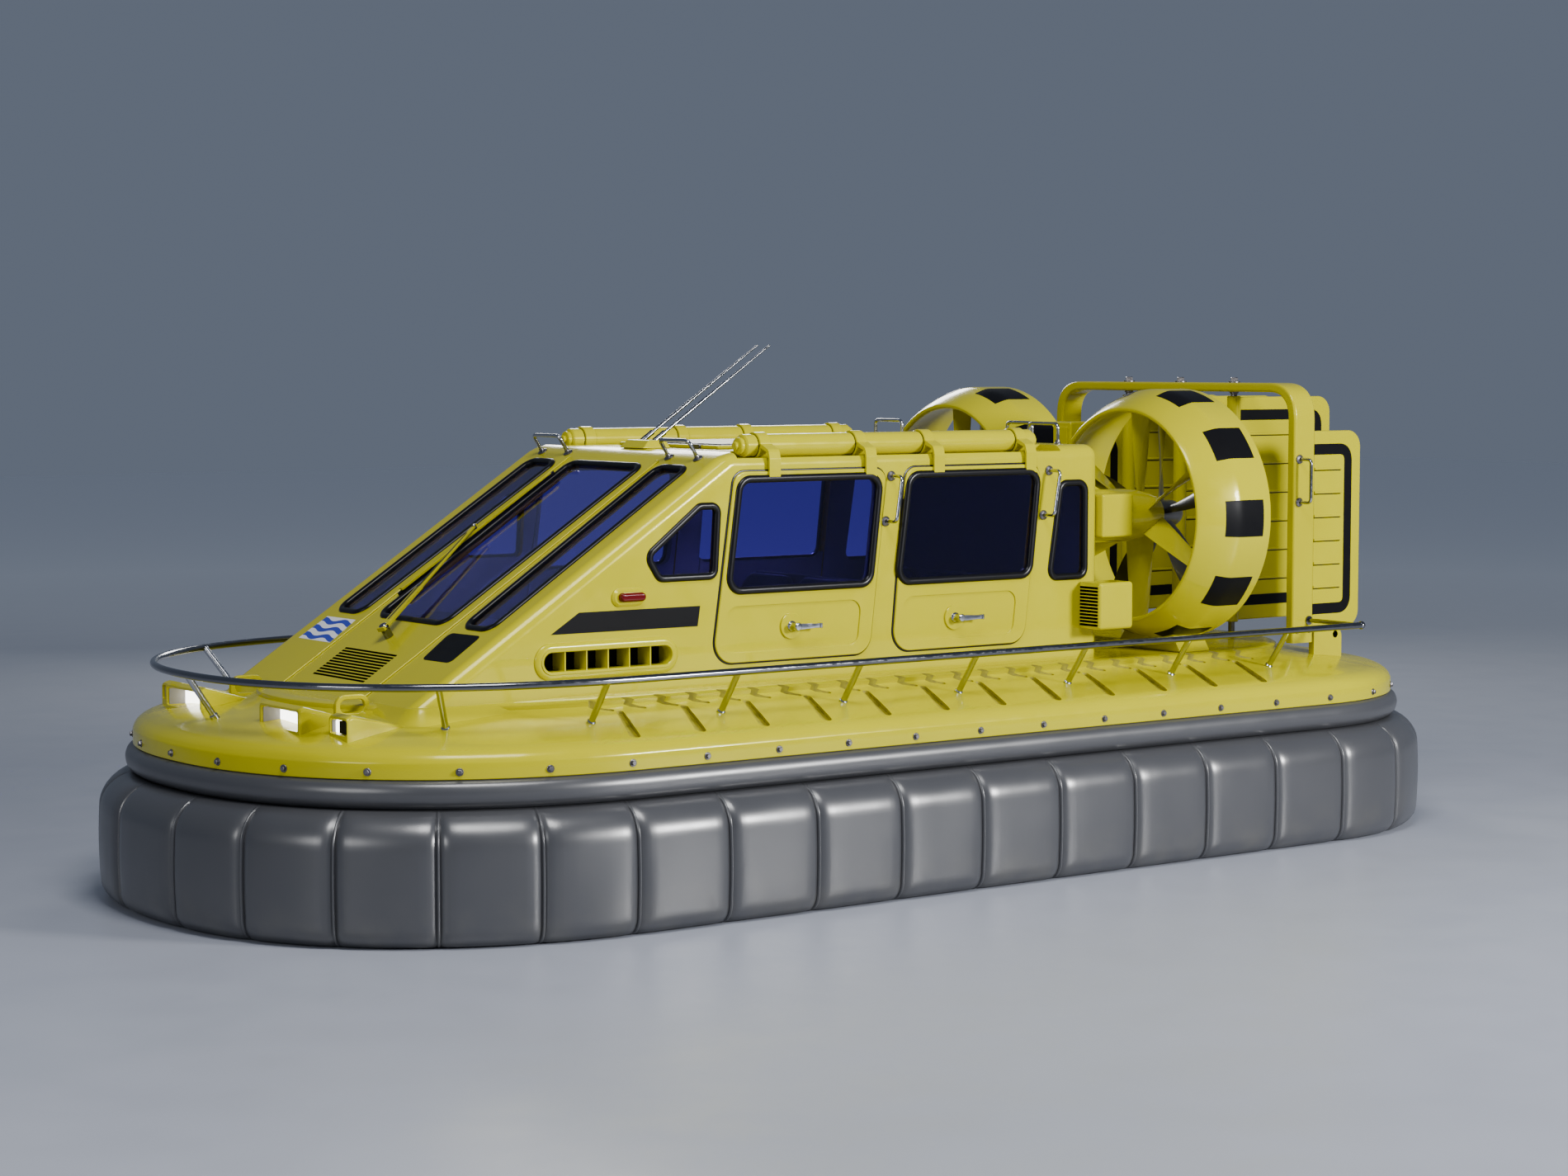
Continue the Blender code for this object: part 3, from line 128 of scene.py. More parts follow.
def principled(name, color, roughness, wear=None, grain=None, **sockets):
    """A material with one Principled shader; an underscore in a socket's name stands for a space.

    Wear is a noise in the roughness, given as scale, detail, lowest and highest value. Grain is a noise in the
    bump, given as scale, detail, depth in metres and strength.
    """
    made = bpy.data.materials.new(name)
    made.use_nodes = True
    tree = made.node_tree
    shader = tree.nodes["Principled BSDF"]
    shader.inputs["Base Color"].default_value = (*color, 1.0)
    shader.inputs["Roughness"].default_value = roughness
    for socket, value in sockets.items():
        shader.inputs[socket.replace("_", " ")].default_value = value
    if wear:
        scale, detail, low, high = wear
        tree.links.new(spread(tree, noise(tree, scale, detail), low, high), shader.inputs["Roughness"])
    if grain:
        bump = tree.nodes.new("ShaderNodeBump")
        scale, detail, bump.inputs["Distance"].default_value, bump.inputs["Strength"].default_value = grain
        tree.links.new(noise(tree, scale, detail), bump.inputs["Height"])
        tree.links.new(bump.outputs["Normal"], shader.inputs["Normal"])
    return made, tree, shader


def finish(*facts, **sockets):
    """A material that needs no other nodes than its wear and grain."""
    return principled(*facts, **sockets)[0]


# %% [markdown]
# Gelcoat is the glossy outer layer of a glass-fibre moulding. It copies a polished mould, so it is nearly a
# mirror, with a faint waviness like orange peel and slight clouds in its colour. A clear coat on the shader
# gives the sharp reflection, and three noises give the clouds, the patches of wear and the waviness.

# %% Gelcoat
YELLOW, CLOUD = (0.50, 0.455, 0.0), (0.48, 0.43, 0.0)
gelcoat, tree, shader = principled(
    "gelcoat_yellow", YELLOW, 0.25, wear=(9.0, 2.0, 0.18, 0.27), grain=(90.0, 1.0, 0.0002, 0.12),
    Specular_Tint=(1.0, 0.90, 0.30, 1.0), Coat_Weight=0.25, Coat_Roughness=0.05)
clouds = spread(tree, noise(tree, 1.3, 3.0), 0.0, 1.0)
tree.links.new(blend_colors(tree, clouds, YELLOW, CLOUD), shader.inputs["Base Color"])

# %% [markdown]
# The skirt is woven cloth coated with rubber. It is dark grey and satin, it shows a very fine grain, and it
# picks up a little pale dust near the ground. A gradient along Z, broken up by noise, makes the dust.

# %% Skirt rubber
RUBBER, DUST = (0.050, 0.051, 0.056), (0.080, 0.078, 0.072)
skirt_rubber, tree, shader = principled("skirt_rubber", RUBBER, 0.32, wear=(3.0, 3.0, 0.29, 0.35),
                                        grain=(900.0, 1.0, 0.0002, 0.25), Specular_IOR_Level=1.0)
height = tree.nodes.new("ShaderNodeSeparateXYZ")
place = tree.nodes.new("ShaderNodeTexCoord")
tree.links.new(place.outputs["Object"], height.inputs["Vector"])
DUST_HEIGHT = 0.30
near_floor = spread(tree, height.outputs["Z"], 1.0, 0.0, 0.0, DUST_HEIGHT)
patches = spread(tree, noise(tree, 5.0, 4.0), 0.0, 1.0, 0.40, 0.75)
dusty = tree.nodes.new("ShaderNodeMath")
dusty.operation = "MULTIPLY"
tree.links.new(near_floor, dusty.inputs[0])
tree.links.new(patches, dusty.inputs[1])
tree.links.new(blend_colors(tree, dusty.outputs["Value"], RUBBER, DUST), shader.inputs["Base Color"])

# %% [markdown]
# The windows are dark blue safety glass. Glass is made by transmission and not by a see-through alpha, because
# only transmission tints what lies behind: one pane turns daylight blue, and two panes in line turn it navy.

# %% Tinted glass
tinted_glass = finish("tinted_glass", (0.42, 0.34, 1.0), 0.02, grain=(6.0, 1.0, 0.0006, 0.05),
                      Transmission_Weight=1.0, IOR=1.45)

# %% [markdown]
# The small trades each have a finish: soft black rubber round the windows, polished tube, dull dark
# bolts, black film for stripes, black composite for the propellers, and lenses for the lamps. The rail's tube is
# a darker steel than the bright steel of stanchions and handles, painted shade for the dark surroundings it
# reflects, and the black film also paints shade in deep slots and vents.

# %% Rubber, metals, film and lenses
JET = (0.005, 0.005, 0.006)
gasket_rubber = finish("gasket_rubber", JET, 0.28, grain=(500.0, 1.0, 0.0002, 0.2), Specular_IOR_Level=0.22)
# Black film is real on stripes, squares, badge and strips, and it also paints shade in grille, vents, intakes, a
# cowl and under ribs
black_film_and_painted_shade = finish("black_film_and_painted_shade", JET, 0.40, wear=(14.0, 2.0, 0.38, 0.42), Specular_IOR_Level=0.08)
# The rail's steel is darker than the bright steel: painted shade for the dark surroundings that the rail
# reflects
polished_steel = finish("polished_steel", (0.20, 0.205, 0.22), 0.14, wear=(30.0, 2.0, 0.10, 0.20), Metallic=1.0)
bright_steel = finish("bright_steel", (0.46, 0.47, 0.49), 0.14, wear=(40.0, 2.0, 0.10, 0.20), Metallic=1.0)
bolt_steel = finish("bolt_steel", (0.20, 0.19, 0.20), 0.35, wear=(60.0, 2.0, 0.28, 0.45), Metallic=1.0)
dark_composite = finish("dark_composite", (0.022, 0.022, 0.024), 0.3, grain=(260.0, 1.0, 0.0003, 0.2),
                        Coat_Weight=0.3)
red_lens = finish("red_lens", (0.11, 0.001, 0.002), 0.12, grain=(90.0, 1.0, 0.0003, 0.3),
                  Specular_IOR_Level=0.35)
lamp_lens = finish("lamp_lens", (0.92, 0.92, 0.90), 0.12, grain=(120.0, 1.0, 0.0005, 0.4),
                   Emission_Color=(1.0, 1.0, 0.97, 1.0), Emission_Strength=6.0)
cabin_lining = finish("cabin_lining", (0.22, 0.21, 0.21), 0.85, grain=(700.0, 2.0, 0.0008, 0.6))
seat_vinyl = finish("seat_vinyl", (0.060, 0.060, 0.070), 0.48, wear=(25.0, 3.0, 0.42, 0.58),
                    grain=(450.0, 3.0, 0.0010, 0.5))
skid_resin = finish("skid_resin", (0.03, 0.03, 0.03), 0.55, grain=(80.0, 3.0, 0.0010, 0.4))
engine_paint = finish("engine_paint", (0.13, 0.135, 0.14), 0.45, grain=(150.0, 3.0, 0.0010, 0.4))

# Deep slots lie in shadow, so their sides are painted a darker, duller yellow: painted shade, varied by a noise
SLOT_SHADE_PALE, SLOT_SHADE_DARK = (0.36, 0.32, 0.01), (0.24, 0.21, 0.02)
slot_painted_shade, tree, shader = principled("slot_painted_shade", SLOT_SHADE_PALE, 0.5)
slot_shade_noise = spread(tree, noise(tree, 40.0, 3.0), 0.0, 1.0)
tree.links.new(blend_colors(tree, slot_shade_noise, SLOT_SHADE_PALE, SLOT_SHADE_DARK), shader.inputs["Base Color"])
print("Finishes:", len(bpy.data.materials))

# %% [markdown]
# ## Shapes
# Most pieces here come from six ways of making a closed shape: a turned profile, a pipe along a path, a flat
# plate, a rounded bead along an outline, a block with soft edges, and a stack or a belt of loops. Each helper
# adds its shape to a BMesh, so that many small things, such as bolts, end up as one piece.

# %% Helpers: from a BMesh to a piece
def link(name, bm, *finishes):
    """A loose object made of a BMesh, its faces pointing out."""
    mesh = bpy.data.meshes.new(name)
    bmesh.ops.recalc_face_normals(bm, faces=bm.faces)
    bm.to_mesh(mesh)
    bm.free()
    for finish in finishes:
        mesh.materials.append(finish)
    obj = bpy.data.objects.new(name, mesh)
    bpy.context.scene.collection.objects.link(obj)
    return obj


def dress(obj, body="craft", slot="gelcoat", stands_for=(), sharp=32, flat=True):
    """Shades a finished piece, lets it ride on its body and hides the solids it stands for."""
    obj.data.shade_smooth()
    obj.data.set_sharp_from_angle(angle=math.radians(sharp))
    if flat:
        # Large faces set the shading, so that a panel stays flat between its rounded edges
        step = obj.modifiers.new("flat_panels", "WEIGHTED_NORMAL")
        step.keep_sharp = True
    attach(obj, body)
    if stands_for:
        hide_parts(*stands_for)
    print(f"{obj.name}: {len(obj.data.vertices)} points, rides on {body}")
    return obj


def bake(obj):
    """Applies an object's modifiers to its mesh."""
    bpy.context.view_layer.update()
    graph = bpy.context.evaluated_depsgraph_get()
    mesh = bpy.data.meshes.new_from_object(obj.evaluated_get(graph))
    obj.modifiers.clear()
    obj.data = mesh
    return obj


def cut(obj, bm, *finishes):
    """Cuts the shape in a BMesh out of a piece; the faces it leaves keep the cutter's finishes."""
    tool = link("cutter", bm, *finishes)
    step = obj.modifiers.new("cut", "BOOLEAN")
    step.operation = "DIFFERENCE"
    step.object = tool
    step.material_mode = "TRANSFER"
    bake(obj)
    bpy.data.objects.remove(tool)
    return obj


def soften(obj, width, segments=2, angle=40):
    """Rounds the edges that are sharper than an angle."""
    step = obj.modifiers.new("soften", "BEVEL")
    step.width = width
    step.segments = segments
    step.limit_method = "ANGLE"
    step.angle_limit = math.radians(angle)
    return bake(obj)


def paste(bm, other, matrix=None, finish=0):
    """Moves the shape in another BMesh into bm, with a finish's number on its faces."""
    if matrix:
        bmesh.ops.transform(other, matrix=matrix, verts=other.verts)
    for face in other.faces:
        face.material_index = finish
    mesh = bpy.data.meshes.new("paste")
    other.to_mesh(mesh)
    other.free()
    bm.from_mesh(mesh)
    bpy.data.meshes.remove(mesh)


# %% Helpers: turned shapes, pipes, plates, beads and blocks
def lathe(bm, profile, matrix, steps=24, finish=0):
    """Turns a profile of (radius, height) about local Z; a radius of nothing closes an end."""
    rings = []
    for radius, height in profile:
        if radius < 1e-6:
            rings.append([bm.verts.new(matrix @ Vector((0.0, 0.0, height)))])
            continue
        angles = [2 * math.pi * i / steps for i in range(steps)]
        rings.append([bm.verts.new(matrix @ Vector((radius * math.cos(a), radius * math.sin(a), height)))
                      for a in angles])
    closed = len(rings[0]) > 1 and len(rings[-1]) > 1
    for low, high in zip(rings, rings[1:] + (rings[:1] if closed else [])):
        for i in range(steps):
            j = (i + 1) % steps
            corners = [low[i % len(low)], low[j % len(low)], high[j % len(high)], high[i % len(high)]]
            bm.faces.new(list(dict.fromkeys(corners))).material_index = finish


def drum(bm, radius, start, end, matrix, steps=24):
    """A plain cylinder about local Z, between two heights."""
    lathe(bm, [(0.0, start), (radius, start), (radius, end), (0.0, end)], matrix, steps)


def pipe(bm, path, radius, sides=14, closed=False, finish=0, end_radius=None):
    """A round bar along a path of points, thinner towards its end where asked."""
    points = [Vector(point) for point in path]
    count = len(points)
    tangents = []
    for i in range(count):
        before = points[i - 1] if i or closed else points[0]
        after = points[(i + 1) % count] if i < count - 1 or closed else points[-1]
        tangents.append((after - before).normalized())
    side = tangents[0].orthogonal().normalized()
    rings = []
    for i, (point, tangent) in enumerate(zip(points, tangents)):
        side = (side - tangent * side.dot(tangent)).normalized()
        up = tangent.cross(side)
        share = i / max(count - 1, 1)
        size = radius if end_radius is None else radius + (end_radius - radius) * share
        rings.append([bm.verts.new(point + (side * math.cos(a) + up * math.sin(a)) * size)
                      for a in (2 * math.pi * k / sides for k in range(sides))])
    twist = 0
    if closed:
        # The rings may come round turned, so the last joint starts at the nearest corner
        gaps = [(rings[0][k].co - rings[-1][0].co).length for k in range(sides)]
        twist = gaps.index(min(gaps))
    for i in range(count if closed else count - 1):
        here, after = rings[i], rings[(i + 1) % count]
        shift = twist if i == count - 1 else 0
        for k in range(sides):
            m = (k + 1) % sides
            corners = (here[k], here[m], after[(m + shift) % sides], after[(k + shift) % sides])
            bm.faces.new(corners).material_index = finish
    if not closed:
        for ring in (rings[0], rings[-1]):
            bm.faces.new(ring).material_index = finish


def bent(corners, bend, steps=6):
    """A path with its inner corners rounded."""
    corners = [Vector(corner) for corner in corners]
    path = [corners[0]]
    for before, here, after in zip(corners, corners[1:], corners[2:]):
        start = here + (before - here).normalized() * bend
        end = here + (after - here).normalized() * bend
        for step in range(steps + 1):
            t = step / steps
            path.append(start.lerp(here, t).lerp(here.lerp(end, t), t))
    return path + [corners[-1]]


def rounded(corners, radius, steps=8):
    """An outline with its corners rounded; a corner may carry its own radius as a third number."""
    points = []
    count = len(corners)
    for i, corner in enumerate(corners):
        before = Vector(corners[i - 1][:2])
        here = Vector(corner[:2])
        after = Vector(corners[(i + 1) % count][:2])
        size = corner[2] if len(corner) > 2 else radius
        to_before = (before - here).normalized()
        to_after = (after - here).normalized()
        half = to_before.angle(to_after) / 2
        centre = here + (to_before + to_after).normalized() * (size / math.sin(half))
        reach = size / math.tan(half)
        start = here + to_before * reach - centre
        sweep = start.angle_signed(here + to_after * reach - centre)
        for step in range(steps + 1):
            points.append(centre + Matrix.Rotation(-sweep * step / steps, 2) @ start)
    return points


def outward(along, place, middle):
    """The normal of an edge, on the side away from the outline's middle."""
    normal = Vector((along.y, -along.x))
    return normal if normal.dot(place - middle) >= 0 else -normal


def rectangle(left, right, low, high, *radius):
    """The corners of a rectangle, each with the same radius where one is given."""
    return [(x, y, *radius) for x, y in ((left, low), (right, low), (right, high), (left, high))]


def grown(corners, amount):
    """A convex outline moved outwards, its corner radii with it."""
    places = [Vector(corner[:2]) for corner in corners]
    middle = sum(places, Vector((0.0, 0.0))) / len(places)
    lines = []
    for here, after in zip(places, places[1:] + places[:1]):
        along = (after - here).normalized()
        lines.append((here + outward(along, here, middle) * amount, along))
    moved = []
    for i, corner in enumerate(corners):
        (point_a, along_a), (point_b, along_b) = lines[i - 1], lines[i]
        gap = point_b - point_a
        cross = along_a.x * along_b.y - along_a.y * along_b.x
        place = point_a + along_a * ((gap.x * along_b.y - gap.y * along_b.x) / cross)
        moved.append((place.x, place.y, *(size + amount for size in corner[2:])))
    return moved


def stack(bm, loops, finish=0):
    """A solid from closed loops of equal length."""
    rows = [[bm.verts.new(point) for point in loop] for loop in loops]
    count = len(rows[0])
    for lower, upper in zip(rows, rows[1:]):
        for i in range(count):
            j = (i + 1) % count
            bm.faces.new((lower[i], lower[j], upper[j], upper[i])).material_index = finish
    bm.faces.new(list(reversed(rows[0]))).material_index = finish
    bm.faces.new(rows[-1]).material_index = finish


def plate(bm, outline, low, high, matrix, finish=0):
    """A flat outline between two heights over the plane that matrix gives."""
    stack(bm, [[matrix @ Vector((p[0], p[1], level)) for p in outline] for level in (low, high)], finish)


def belt(bm, stations):
    """A closed ring from closed section loops, one at each station."""
    rows = [[bm.verts.new(point) for point in station] for station in stations]
    count = len(rows[0])
    for row, after in zip(rows, rows[1:] + rows[:1]):
        for k in range(count):
            m = (k + 1) % count
            bm.faces.new((row[k], row[m], after[m], after[k]))


def moulding(bm, outline, section, matrix):
    """A closed ring along an outline; its section is given as points of (growth, height)."""
    points = [Vector(point[:2]) for point in outline]
    points = [point for i, point in enumerate(points) if (point - points[i - 1]).length > 1e-5]
    middle = sum(points, Vector((0.0, 0.0))) / len(points)
    stations = []
    for i, here in enumerate(points):
        along = (points[(i + 1) % len(points)] - points[i - 1]).normalized()
        normal = outward(along, here, middle)
        stations.append([matrix @ Vector((*(here + normal * growth), height)) for growth, height in section])
    belt(bm, stations)


def bead(bm, outline, half_width, rise, matrix, shift=0.0, steps=8, sink=0.002):
    """A half-round bead along a closed outline, moved outwards by a shift."""
    angles = [math.pi * k / steps for k in range(steps + 1)]
    section = [(half_width * math.cos(a) + shift, rise * math.sin(a)) for a in angles]
    moulding(bm, outline, section + [(-half_width + shift, -sink), (half_width + shift, -sink)], matrix)


def block(bm, corner, other, radius=0.0, segments=3, finish=0, matrix=None):
    """A box between two opposite corners with rounded edges."""
    made = bmesh.new()
    low = Vector([min(pair) for pair in zip(corner, other)])
    high = Vector([max(pair) for pair in zip(corner, other)])
    place = Matrix.Translation((low + high) / 2) @ Matrix.Diagonal((*(high - low), 1.0))
    bmesh.ops.create_cube(made, size=1.0, matrix=place)
    if radius:
        bmesh.ops.bevel(made, geom=made.edges[:], offset=radius, segments=segments, profile=0.5, affect="EDGES")
    paste(bm, made, matrix, finish)


def hull_block(bm, points, radius=0.0, segments=3, finish=0):
    """The convex solid round a few corners, with rounded edges."""
    made = bmesh.new()
    for point in points:
        made.verts.new(point)
    bmesh.ops.convex_hull(made, input=made.verts)
    bmesh.ops.delete(made, geom=[vert for vert in made.verts if not vert.link_faces], context="VERTS")
    bmesh.ops.dissolve_limit(made, angle_limit=0.02, verts=made.verts, edges=made.edges)
    if radius:
        bmesh.ops.bevel(made, geom=made.edges[:], offset=radius, segments=segments, profile=0.5, affect="EDGES")
    paste(bm, made, None, finish)


# %% [markdown]
# ## Planes to draw on
# Flat outlines are drawn where the real panel lies: on a side, across the craft, or on the sloping windscreen.
# A matrix turns such an outline into place, and its third number is the height over the panel.

# %% Planes
SCREEN_FOOT = Vector((2.71, 0.0, 1.54))
SCREEN_SLOPE = math.atan2(0.852, 1.322)


def side_plane(y):
    """Outlines of (x, z) on a side panel; heights point away from the centreline."""
    out = math.copysign(1.0, y)
    return Matrix(((1, 0, 0, 0), (0, 0, out, y), (0, 1, 0, 0), (0, 0, 0, 1)))


def cross_plane(x):
    """Outlines of (y, z) across the craft; heights point forward."""
    return Matrix(((0, 0, 1, x), (1, 0, 0, 0), (0, 1, 0, 0), (0, 0, 0, 1)))


UP_SLOPE = Vector((-math.cos(SCREEN_SLOPE), 0.0, math.sin(SCREEN_SLOPE)))
OFF_SLOPE = Vector((math.sin(SCREEN_SLOPE), 0.0, math.cos(SCREEN_SLOPE)))
SCREEN_PLANE = Matrix((
    (0.0, UP_SLOPE.x, OFF_SLOPE.x, SCREEN_FOOT.x),
    (1.0, UP_SLOPE.y, OFF_SLOPE.y, SCREEN_FOOT.y),
    (0.0, UP_SLOPE.z, OFF_SLOPE.z, SCREEN_FOOT.z),
    (0.0, 0.0, 0.0, 1.0)))


def line_along(y, z, x=0.0):
    """For turned shapes about a line that runs along the craft; heights are places along it."""
    return Matrix.Translation((x, y, z)) @ Matrix.Rotation(math.pi / 2, 4, "Y")


def facing(direction):
    """Turns local Z to a direction."""
    return Vector(direction).to_track_quat("Z", "Y").to_matrix().to_4x4()


print("Windscreen slope:", round(math.degrees(SCREEN_SLOPE), 1), "degrees")

# %% [markdown]
# ## The plan of the craft
# Seen from above, a hovercraft is a straight-sided hull with a blunt rounded bow and large stern corners. Skirt,
# band, rim and deck all follow that one plan, each moved inwards or outwards a little, so they are all walked
# along the same kind of outline by their share of its length.

# %% Outlines seen from above
BOW_EXPONENT, QUARTER_STEPS = 2.25, 200


class Outline:
    """A closed outline seen from above, walked from the middle of the bow down the port side and back."""

    def __init__(self, front, rear, half_width, bow_depth, stern_radius):
        """The bow is a quarter of a blunt ellipse on each side, and the stern's corners are arcs."""
        port = []
        for step in range(QUARTER_STEPS + 1):
            angle = math.pi / 2 * step / QUARTER_STEPS
            x = front - bow_depth + bow_depth * math.cos(angle) ** (2 / BOW_EXPONENT)
            port.append(Vector((x, half_width * math.sin(angle) ** (2 / BOW_EXPONENT))))
        centre = Vector((rear + stern_radius, half_width - stern_radius))
        for step in range(QUARTER_STEPS + 1):
            angle = math.pi / 2 * (1 + step / QUARTER_STEPS)
            port.append(centre + stern_radius * Vector((math.cos(angle), math.sin(angle))))
        port.append(Vector((rear, 0.0)))
        self.points = port + [Vector((point.x, -point.y)) for point in reversed(port[1:-1])]
        self.reach = [0.0]
        for i, point in enumerate(self.points):
            self.reach.append(self.reach[-1] + (self.points[(i + 1) % len(self.points)] - point).length)
        self.length = self.reach[-1]

    def at(self, share):
        """The point at this share of the way round."""
        want = (share % 1.0) * self.length
        i = min(bisect.bisect_right(self.reach, want), len(self.points)) - 1
        part = (want - self.reach[i]) / (self.reach[i + 1] - self.reach[i])
        return self.points[i].lerp(self.points[(i + 1) % len(self.points)], part)

    def normal(self, share):
        """The outward direction at this share of the way round."""
        along = (self.at(share + 0.002) - self.at(share - 0.002)).normalized()
        return Vector((along.y, -along.x))


RIM_END, RIM_SIDE = 4.185, 1.815


def rim_outline(side=0.0, bow=0.0, stern=0.0):
    """The rim of the hull moved inwards at the sides, the bow and the stern."""
    stern_radius = max(1.35 - 0.6 * side, 0.4)
    return Outline(RIM_END - bow, stern - RIM_END, RIM_SIDE - side, 1.90 - 0.5 * side, stern_radius)


def arc(centre, reach, start, end, steps):
    """Points on an ellipse from one angle to another, in degrees."""
    angles = [math.radians(start + (end - start) * i / steps) for i in range(steps + 1)]
    return [(centre[0] + reach[0] * math.cos(a), centre[1] + reach[1] * math.sin(a)) for a in angles]


def smooth(rows, steps=4):
    """More rows through the same ones, on a curve that rounds their turns."""
    fine = []
    for i in range(len(rows) - 1):
        four = (rows[max(i - 1, 0)], rows[i], rows[i + 1], rows[min(i + 2, len(rows) - 1)])
        for t in (step / steps for step in range(steps)):
            fine.append(tuple(
                0.5 * (2 * q + (r - p) * t + (2 * p - 5 * q + 4 * r - s) * t ** 2 +
                       (3 * q - p - 3 * r + s) * t ** 3)
                for p, q, r, s in zip(*four)))
    return fine + [tuple(rows[-1])]


skirt_plan = Outline(4.385, -4.385, 1.975, 2.10, 1.51)
print("Round the skirt:", round(skirt_plan.length, 2), "m")

# %% [markdown]
# ## Skirt
# The skirt is a row of bags of coated cloth, blown up by the lift air. Where two bags meet, a welt is glued over
# the joint: a thin bead with a dark groove on each side. The whole skirt is one ring, swept from one section,
# and the section sinks by up to 27 mm beside each seam, which makes grooves and soft shoulders.

# %% Skirt segments
wall = [(-0.006 + 0.006 * math.sin(math.pi * i / 6), 0.50 - 0.38 * i / 6) for i in range(1, 6)]
shoulder = arc((-0.206, 0.50), (0.200, 0.20), 90, 0, 10)
toe = arc((-0.116, 0.12), (0.110, 0.12), 0, -90, 8)
inside = [(-0.21, 0.0), (-0.33, 0.06), (-0.32, 0.40), (-0.26, 0.66)]
felt = [min(1.0, i / 4) for i in range(11)] + [1.0] * 5 + [1 - 0.05 * i for i in range(9)] + [0.0] * 4

FIRST_SEAM, BOW_PITCH, BOW_BAGS, SIDE_BAGS = 0.34, 0.55, 6, 14
bow_seams = [FIRST_SEAM + BOW_PITCH * i for i in range(BOW_BAGS)]
side_pitch = (skirt_plan.length / 2 - bow_seams[-1]) / SIDE_BAGS
port_seams = bow_seams + [bow_seams[-1] + side_pitch * i for i in range(1, SIDE_BAGS)]
seams = port_seams + [skirt_plan.length / 2] + [skirt_plan.length - place for place in reversed(port_seams)]

# Columns: distance from a seam, depth there
welt = [(0.0, 0.010), (0.005, 0.012), (0.009, 0.027), (0.015, 0.024), (0.026, 0.015),
        (0.043, 0.008), (0.068, 0.003), (0.110, 0.0)]
stations = []
for seam, following in zip(seams, seams[1:] + [seams[0] + skirt_plan.length]):
    spots = [(seam + away, depth) for away, depth in welt]
    spots += [(seam + (following - seam) * part, 0.0) for part in (0.35, 0.5, 0.65)]
    spots += [(following - away, depth) for away, depth in reversed(welt[1:])]
    for along, depth in spots:
        share = along / skirt_plan.length
        place, normal = skirt_plan.at(share), skirt_plan.normal(share)
        ring = []
        for (offset, z), part in zip(shoulder + wall + toe + inside, felt):
            ring.append((*(place + normal * (offset - depth * part)), z))
        stations.append(ring)
bm = bmesh.new()
belt(bm, stations)
dress(link("skirt_bags", bm, skirt_rubber), slot="skirt", stands_for=["skirt_segments"], sharp=60,
      flat=False)
print("Seams:", len(seams), "with", round(side_pitch, 3), "m between them along the sides")

# %% [markdown]
# Above the bags, a softer roll of the same cloth closes the gap to the hull's rim. Its section bulges outwards,
# and its top is clamped under the rim.

# %% Skirt band
rim = rim_outline()
roll = smooth([(-0.012, 0.8537), (0.026, 0.832), (0.043, 0.785), (0.030, 0.732), (-0.010, 0.7003)], 4)
section = roll + [(-0.030, 0.7003), (-0.100, 0.730), (-0.100, 0.8537)]
BAND_STATIONS = 216
stations = []
for share in (i / BAND_STATIONS for i in range(BAND_STATIONS)):
    place, normal = rim.at(share), rim.normal(share)
    stations.append([(*(place + normal * offset), z) for offset, z in section])
bm = bmesh.new()
belt(bm, stations)
dress(link("skirt_roll", bm, skirt_rubber), slot="skirt", stands_for=["skirt_band"], sharp=50, flat=False)

# %% [markdown]
# ## Hull and deck
# Hull and deck are two glass-fibre mouldings bolted together along the rim. The deck slopes up gently to a
# coaming, and its walkway has a tread of slanting slots, each deep along one edge and running out to nothing at
# the other. The deck is a stack of the plan outline at many heights, and the slots are cut by tilted wedges.

# %% Deck
# Columns: inwards at the sides, the bow and the stern, height
deck_rows = smooth([
    (0.000, 0.000, 0.000, 0.935), (0.018, 0.018, 0.018, 0.975), (0.060, 0.060, 0.060, 1.008),
    (0.130, 0.130, 0.130, 1.030), (0.365, 0.300, 0.365, 1.073), (0.590, 0.620, 0.640, 1.112),
    (0.604, 0.660, 0.656, 1.150), (0.628, 0.740, 0.690, 1.1630), (0.660, 0.900, 0.735, 1.165)], 3)
low_rows = [(0.600, 0.700, 0.700, 0.500), (0.105, 0.105, 0.105, 0.854), (0.004, 0.004, 0.004, 0.854),
            (0.0, 0.0, 0.0, 0.858), (0.0, 0.0, 0.0, 0.895)]
AROUND = 288
loops = []
for side, bow, stern, z in low_rows + deck_rows:
    outline = rim_outline(side, bow, stern)
    loops.append([(*outline.at(i / AROUND), z) for i in range(AROUND)])
bm = bmesh.new()
stack(bm, loops)
deck = link("hull_moulding", bm, gelcoat, cabin_lining, engine_paint, slot_painted_shade)

# %% Tread slots, cabin well and engine bay
WALK_EDGE_IN, WALK_EDGE_Z, WALK_SLOPE = 0.130, 1.030, 0.1783
SLOT_DEPTH, SLOT_PITCH, SLOT_GROUPS = 0.026, 0.423, 12
CABIN_WELL = ((-1.50, -0.98, 0.72), (2.30, 0.98, 1.30))
ENGINE_BAY = ((-2.98, -0.46, 0.60), (-1.87, 0.46, 1.30))


def deck_height(y):
    """Height of the walkway, which slopes down evenly from the coaming to its edge."""
    return WALK_EDGE_Z + (RIM_SIDE - abs(y) - WALK_EDGE_IN) * WALK_SLOPE


